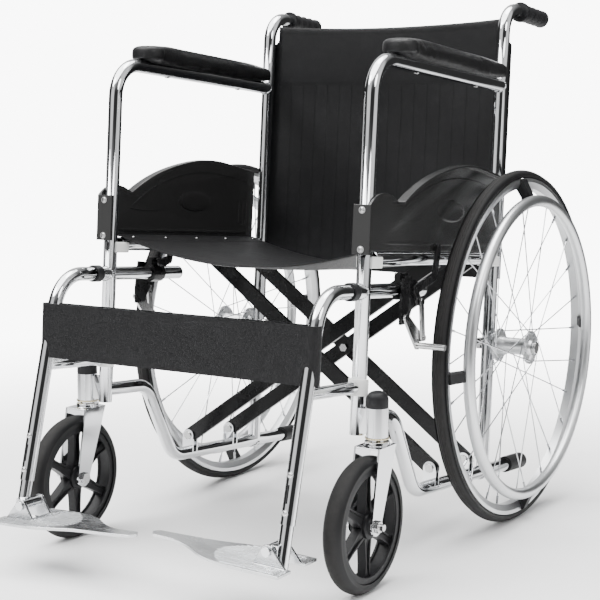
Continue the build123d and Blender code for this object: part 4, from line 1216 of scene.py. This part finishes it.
@dataclass
class Guard:
    """The gloss guard beside the seat, with its lip, boss, ribs and screws."""

    side: Side
    axes: SideAxes
    kit: Fasteners
    inner_x: float = 0.2475
    thick: float = 0.004
    base_q: float = 0.1585

    def build(self) -> None:
        """Make the shell and its raised details."""
        node, body = self.side.node("skirt_guard"), f"{self.side.word}_side"
        fit(refine(node, Look.GUARD, 0.0009), body, Look.GUARD, node)
        s = self.side.value
        inside, outside = s * self.inner_x, s * (self.inner_x + self.thick)
        parts = [self.boss(inside, -s), self.boss(outside, s)]
        base = [(-0.425, 0.170), (-0.030, 0.170)]
        band = [(-0.384, 0.206), (-0.330, 0.238), (-0.262, 0.262), (-0.190, 0.274), (-0.120, 0.273),
                (-0.060, 0.266), (-0.026, 0.261)]
        fall = [(-0.384, 0.206), (-0.340, 0.203), (-0.300, 0.206)]
        for x, way in ((inside, -s), (outside, s)):
            parts += [self.rib(x, way, base), self.rib(x, way, band, 0.0011), self.rib(x, way, fall, 0.0011)]
        for p in (-0.062, -0.050, -0.038):
            parts.append(self.rib(inside, -s, [(p, 0.182), (p, 0.226)], 0.0016))
        fit(joined(self.side.node("guard_detail"), parts, Look.GUARD), body, Look.GUARD)
        screws = [(self.axes.at(s * (self.inner_x - 0.010), -0.445 - 0.0172, q), -self.axes.back)
                  for q in (0.160, 0.217)]
        fit(self.kit.set_out(self.side.node("guard_screws"), screws, self.kit.screw(0.0040)), body, Look.ZINC)

    def boss(self, x: float, way: float) -> bpy.types.Object:
        """A plain low oval swelling in the middle of the panel."""
        rings, steps = 7, 48
        points, faces = [self.axes.at(x + way * 0.0016, -0.200, 0.222)], []
        for ring in range(1, rings + 1):
            share = ring / rings
            height = 0.0016 * (1 - share ** 4) - 0.0006 * (ring == rings)
            for step in range(steps):
                turn = math.tau * step / steps
                points.append(self.axes.at(x + way * height, -0.200 + 0.052 * share * math.cos(turn),
                                           0.222 + 0.019 * share * math.sin(turn)))
        for step in range(steps):
            after = (step + 1) % steps
            faces.append((0, 1 + step, 1 + after))
            for ring in range(rings - 1):
                a, b = 1 + ring * steps, 1 + (ring + 1) * steps
                faces.append((a + step, b + step, b + after, a + after))
        faces.append(tuple(1 + (rings - 1) * steps + step for step in range(steps)))
        return mesh_object("boss", points, faces, Look.GUARD, 60)

    def rib(self, x: float, way: float, line: Sequence[Point], half: float = 0.0028) -> bpy.types.Object:
        """A rounded rib along a line on one face of the panel.

        Args:
            x: The face.
            way: The face's outward direction along X.
            line: Points (P, Q) of its middle line.
            half: Half the rib's width.

        Returns:
            The rib, with tapered ends.
        """
        path = smoothed(line, 40)
        points, faces = [], []
        sunk = -0.0006
        section = ((sunk, -1.0), (0.4 * half, -0.75), (0.6 * half, 0.0), (0.4 * half, 0.75), (sunk, 1.0))
        count, stations = len(section), len(path)
        for station, (p, q) in enumerate(path):
            share = station / (stations - 1)
            swell = min(1.0, 0.05 + 12 * share, 0.05 + 12 * (1 - share))
            before, after = path[max(station - 1, 0)], path[min(station + 1, stations - 1)]
            run = Vector((after[0] - before[0], after[1] - before[1])).normalized()
            for out, side in section:
                points.append(self.axes.at(x + way * (out * swell if out > 0 else out),
                                           p - run.y * side * half * swell, q + run.x * side * half * swell))
        for station in range(stations - 1):
            for index in range(count):
                a, b = station * count, (station + 1) * count
                faces.append((a + index, a + (index + 1) % count, b + (index + 1) % count, b + index))
        faces += [tuple(range(count)), tuple((stations - 1) * count + index for index in range(count))]
        return mesh_object("rib", points, faces, Look.GUARD, 50)


@dataclass
class ArmPad:
    """A padded armrest, swollen by a short cloth simulation."""

    side: Side
    axes: SideAxes
    cap: float = 0.005

    def build(self) -> None:
        """Inflate the pad's cover."""
        node, body = self.side.node("arm_pad"), f"{self.side.word}_side"
        cover = puffed(node, Look.PAD, 0.004, 4.0, self.cap)
        fit(cover, body, Look.PAD, node)


def puffed(node: str, look: Look, voxel: float, pressure: float, cap: float) -> bpy.types.Object:
    """Swell a node's shape with cloth pressure.

    Args:
        node: The soft CAD node.
        look: The cover's finish.
        voxel: The remesh size, in metres.
        pressure: The cloth's inner pressure.
        cap: The furthest that a point may move, in metres.

    Returns:
        The swollen cover, inside the node's own box.
    """
    made = refine(node, look)
    made.name = f"{node}_cover"
    low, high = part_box(node)
    middle = (Vector(low) + Vector(high)) / 2
    for vertex in made.data.vertices:
        vertex.co = middle + (vertex.co - middle) * 0.965
    remesh = made.modifiers.new("Remesh", "REMESH")
    remesh.mode = "VOXEL"
    remesh.voxel_size = voxel
    evaluated(made)
    rest = [vertex.co.copy() for vertex in made.data.vertices]
    cloth = made.modifiers.new("Cloth", "CLOTH")
    cloth.settings.use_pressure = True
    cloth.settings.uniform_pressure_force = pressure
    cloth.settings.effector_weights.gravity = 0
    cloth.point_cache.frame_start, cloth.point_cache.frame_end = 1, 20
    for step in range(1, 21):
        bpy.context.scene.frame_set(step)
    evaluated(made)
    bpy.context.scene.frame_set(1)
    for vertex, start in zip(made.data.vertices, rest):
        move = vertex.co - start
        if move.length > cap:
            vertex.co = start + move * (cap / move.length)
        vertex.co = Vector(min(max(value, a), b) for value, a, b in zip(vertex.co, low, high))
    made.data.materials.clear()
    made.data.materials.append(look.material)
    rounding = made.modifiers.new("Subdivision", "SUBSURF")
    rounding.levels = rounding.render_levels = 1
    evaluated(made)
    made.data.shade_smooth()
    return made


@dataclass
class Seat:
    """The seat's vinyl, hung between the seat rails."""

    axes: SideAxes
    kit: Fasteners
    edge_x: float = 0.2420
    rail_q: float = 0.147
    sag: float = 0.044
    front_p: float = -0.423
    back_p: float = -0.022
    thick: float = 0.003

    def place(self, across: float, along: float, lift: float = 0.0) -> Vector:
        """A point of the seat: shares across and along, and a lift off the cloth."""
        x = (2 * across - 1) * self.edge_x
        share = abs(x) / self.edge_x
        p = self.front_p + (self.back_p - self.front_p) * along
        drop = self.sag * (1 - share ** 2.0) * (1 - 0.10 * (2 * along - 1) ** 2)
        slack = 0.0012 * noise.noise(Vector((x * 9, p * 14, 3.1))) * (1 - share)
        return self.axes.at(x, p, self.rail_q + 0.0135 + self.thick / 2 - drop + slack + lift)

    def build(self) -> None:
        """Make the panel, its hems, stitches and screws."""
        panel = sheet_mesh("seat_panel", self.place, 96, 80, self.thick, Look.VINYL)
        rows = [[self.place(step / 60, v, 0.0018) for step in range(61)] for v in (0.045, 0.955)]
        sides = [[self.place(u, step / 60, 0.0018) for step in range(61)] for u in (0.062, 0.938)]
        sewn = self.kit.stitch("seat_stitches", rows + sides)
        screws = [(self.place(u, v, 0.0016), self.axes.up) for u in (0.033, 0.967)
                  for v in (0.06, 0.28, 0.5, 0.72, 0.94)]
        heads = self.kit.set_out("seat_screws", screws, self.kit.screw(0.0032))
        fit(panel, "seat", Look.VINYL, "seat_sling")
        fit(sewn, "seat", Look.THREAD)
        fit(heads, "seat", Look.ZINC)
        span = arc_length([self.place(step / 200, 0.5) for step in range(201)])
        for piece in (panel, sewn, heads):
            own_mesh(piece)


def arc_length(points: Sequence[Vector]) -> float:
    """The length of a chain of points."""
    return sum((there - here).length for here, there in zip(points, points[1:]))


@dataclass
class Back:
    """The back's vinyl behind the canes, sewn into channels."""

    axes: SideAxes
    kit: Fasteners
    half_x: float = 0.2460
    neck_x: float = 0.2230
    low_q: float = 0.111
    shoulder_q: float = 0.520
    high_q: float = 0.553
    behind_p: float = 0.0128
    thick: float = 0.003

    def place(self, across: float, up: float, lift: float = 0.0) -> Vector:
        """A point of the back: shares across and up, and a lift towards the user."""
        q = self.low_q + (self.high_q - self.low_q) * up
        narrow = min(max((q - self.shoulder_q + 0.012) / 0.02, 0), 1)
        half = self.half_x + (self.neck_x - self.half_x) * narrow * narrow * (3 - 2 * narrow)
        x = (2 * across - 1) * half
        share = x / half
        q -= 0.008 * (1 - share ** 2) * up ** 6
        crease = 0.0016 * noise.noise(Vector((x * 7, q * 11, 8.2))) * (1 - share ** 4)
        belly = 0.0035 * (1 - share ** 2) * math.sin(math.pi * min(up * 1.05, 1))
        return self.axes.at(x, self.behind_p + belly + crease - lift, q)

    def build(self) -> None:
        """Make the panel and its seams."""
        panel = sheet_mesh("back_panel", self.place, 110, 110, self.thick, Look.BACK)
        seam = 0.765
        runs = [[self.place(step / 80, seam + gap, 0.0019) for step in range(81)] for gap in (-0.004, 0.004)]
        runs.append([self.place(step / 80, 0.975, 0.0019) for step in range(81)])
        for number in range(1, 17):
            share = 0.06 + 0.88 * number / 17
            runs.append([self.place(share, 0.02 + (seam - 0.03) * step / 70, 0.0019) for step in range(71)])
        front = self.kit.stitch("back_stitches", runs, thickness=0.0006)
        fit(panel, "right_side", Look.BACK, "back_sling")
        fit(front, "right_side", Look.THREAD)
        span = arc_length([self.place(step / 200, 0.4) for step in range(201)])
        rise = arc_length([self.place(0.5, step / 200) for step in range(201)])
        for piece in (panel, front):
            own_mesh(piece)


@dataclass
class CalfStrap:
    """The strap round both footrest legs."""

    kit: Fasteners
    reach_x: float = 0.2354
    loop_r: float = 0.0128
    thick: float = 0.003

    def build(self) -> None:
        """Make the loop and its hem stitches from the CAD strap's own box and lean."""
        node = "calf_strap"
        low, high = (Vector(corner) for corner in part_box(node))
        source = frame["nodes"][node].data.vertices
        upper = [vertex.co for vertex in source if vertex.co.z > high.z - 0.004]
        lower = [vertex.co for vertex in source if vertex.co.z < low.z + 0.004]
        top = sum(upper, Vector()) / len(upper)
        foot = sum(lower, Vector()) / len(lower)
        rise = (top - foot).normalized()
        middle = Vector((0, (low.y + high.y) / 2, (low.z + high.z) / 2))
        front = rise.cross(Vector((1, 0, 0))).normalized()
        half_w = 0.0415

        def ring(turn: float) -> tuple[float, float]:
            """The loop's middle line: X and distance to the front, for a share of one turn."""
            straight, bend = 2 * self.reach_x, math.pi * self.loop_r
            along = turn * 2 * (straight + bend) % (2 * (straight + bend))
            if along < straight:
                return along - self.reach_x, self.loop_r
            if along < straight + bend:
                swing = (along - straight) / self.loop_r
                return self.reach_x + self.loop_r * math.sin(swing), self.loop_r * math.cos(swing)
            if along < 2 * straight + bend:
                return self.reach_x - (along - straight - bend), -self.loop_r
            swing = (along - 2 * straight - bend) / self.loop_r
            return -self.reach_x - self.loop_r * math.sin(swing), -self.loop_r * math.cos(swing)

        def place(turn: float, up: float, lift: float = 0.0) -> Vector:
            """A point of the strap's cloth."""
            x, out = ring(turn)
            bow = 0.0022 * math.cos(math.pi * min(abs(x) / self.reach_x, 1) / 2) * (1 if out > 0 else -1)
            slack = 0.0008 * noise.noise(Vector((x * 22, up * 2.4, 5.5)))
            return (middle + Vector((x, 0, 0)) + rise * half_w * (2 * up - 1)
                    + front * (out - bow + slack + (lift if out > 0 else -lift)))

        panel = self.tube(place)
        runs = [[place(0.003 + 0.44 * step / 90, up, 0.0019) for step in range(91)] for up in (0.07, 0.93)]
        for x_share in (0.03, 0.045, 0.40, 0.415):
            runs.append([place(x_share, 0.08 + 0.84 * step / 30, 0.0019) for step in range(31)])
        sewn = self.kit.stitch("strap_stitches", runs)
        fit(panel, "right_side", Look.STRAP, node)
        fit(sewn, "right_side", Look.THREAD)
        for piece in (panel, sewn):
            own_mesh(piece)

    def tube(self, place: Callable[[float, float, float], Vector]) -> bpy.types.Object:
        """Close the strap's cloth into one loop with a real thickness."""
        rounds, rows = 260, 14
        points, faces = [], []
        for step in range(rounds):
            for layer in (0.5, -0.5):
                for row in range(rows + 1):
                    points.append(place(step / rounds, row / rows, layer * self.thick))
        size = 2 * (rows + 1)
        for step in range(rounds):
            a, b = step * size, (step + 1) % rounds * size
            for row in range(rows):
                faces.append((a + row, b + row, b + row + 1, a + row + 1))
                lower = rows + 1 + row
                faces.append((a + lower, a + lower + 1, b + lower + 1, b + lower))
            for row in (0, rows):
                faces.append((a + row, a + row + rows + 1, b + row + rows + 1, b + row))
        return mesh_object("strap_panel", points, faces, Look.STRAP, 60)


@dataclass
class Studio:
    """Pale floor, soft lights and the camera."""

    eye: Vector = Vector((1.2786, -2.0857, 0.6754))
    yaw: float = math.radians(31.878)
    pitch: float = math.radians(-6.952)
    roll: float = math.radians(0.14)
    lens: float = 88.4
    backdrop: float = 9.0
    bright: float = 1.1
    dark: float = 0.04
    panel_turn: float = 0.9

    def build(self) -> None:
        """Set everything up."""
        self.floor()
        self.lights()
        self.camera()

    def floor(self) -> None:
        """A wide plain floor."""
        dress = Dress("pale_floor")
        east, north, _ = dress.split(dress.place)
        away = (east.power(2.0) + north.power(2.0)).power(0.5)
        dress.shade(Base_Color=dress.colours(dress.noise(2, 2), (0.93, 0.93, 0.93), (0.91, 0.91, 0.91)),
                    Roughness=0.75, Alpha=1.0 - away.step(0.55, 2.4))
        dress.shader.inputs["Specular IOR Level"].default_value = 0.1
        size = 2.6
        mesh = bpy.data.meshes.new("floor")
        mesh.from_pydata([(-size, -size, 0), (size, -size, 0), (size, size, 0), (-size, size, 0)], [],
                         [(0, 1, 2, 3)])
        mesh.materials.append(dress.material)
        link("floor", mesh)

    def lights(self) -> None:
        """A sky of soft light and dark panels, and three soft boxes."""
        sky = Sky("studio_sky")
        east, north, up = sky.split(sky.place)
        panels = (north.angle_to(east) * 3.0 + self.panel_turn).wave().step(-0.25, 0.55)
        overhead = up.step(0.25, 0.95)
        room = self.dark + (self.bright - self.dark) * panels * (1.0 - 0.75 * overhead) + 0.5 * overhead
        seen = sky.tree.nodes.new("ShaderNodeLightPath").outputs["Is Camera Ray"]
        sky.feed(sky.shader.inputs["Strength"], room + (self.backdrop - room) * Wire(sky, seen))
        sun = bpy.data.lights.new("overcast", "SUN")
        sun.energy, sun.angle = 7.5, math.radians(75)
        high = bpy.data.objects.new("overcast", sun)
        high.rotation_euler = (math.radians(12), math.radians(-10), 0)
        bpy.context.scene.collection.objects.link(high)
        for name, place, size, power in (("key", (-1.7, -2.6, 3.2), 1.6, 60),
                                         ("fill", (3.0, -1.0, 2.4), 1.4, 35),
                                         ("top", (0.2, 0.8, 3.6), 2.2, 60)):
            lamp = bpy.data.lights.new(name, "AREA")
            lamp.shape, lamp.size, lamp.energy = "DISK", size, power
            made = bpy.data.objects.new(name, lamp)
            made.location = place
            made.rotation_euler = (Vector((0, 0, 0.4)) - Vector(place)).to_track_quat("-Z", "Y").to_euler()
            bpy.context.scene.collection.objects.link(made)

    def camera(self) -> None:
        """The standing viewer's camera, ahead of the chair's left side."""
        lens = bpy.data.cameras.new("camera")
        lens.lens, lens.sensor_width = self.lens, 36.0
        made = bpy.data.objects.new("camera", lens)
        ahead = Vector((-math.sin(self.yaw) * math.cos(self.pitch),
                        math.cos(self.yaw) * math.cos(self.pitch), math.sin(self.pitch)))
        turned = ahead.to_track_quat("-Z", "Y").to_matrix().to_4x4() @ Matrix.Rotation(self.roll, 4, "Z")
        made.matrix_world = Matrix.Translation(self.eye) @ turned
        bpy.context.scene.collection.objects.link(made)
        bpy.context.scene.camera = made


def main() -> None:
    """Build the chair in order."""
    logging.basicConfig(level=logging.INFO, format="%(message)s")
    low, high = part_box("rear_tyre_left")
    axle = (Vector(low) + Vector(high)) / 2
    castor_low, castor_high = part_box("castor_tyre_left")
    castor = (Vector(castor_low) + Vector(castor_high)) / 2
    axes = SideAxes(axle, math.radians(4.3))
    Paintshop(axle, castor, (high[2] - low[2]) / 2, (castor_high[2] - castor_low[2]) / 2).build()
    Studio().build()
    kit = Fasteners()
    for side in Side:
        SideFrame(side, axes, kit).build()
        RearWheel(side, kit, axle).build()
        Castor(side, castor).build()
        Guard(side, axes, kit).build()
        ArmPad(side, axes).build()
    Hardware(kit).build()
    Seat(axes, kit).build()
    Back(axes, kit).build()
    CalfStrap(kit).build()
    kit.tidy()


if __name__ == "__main__":
    main()
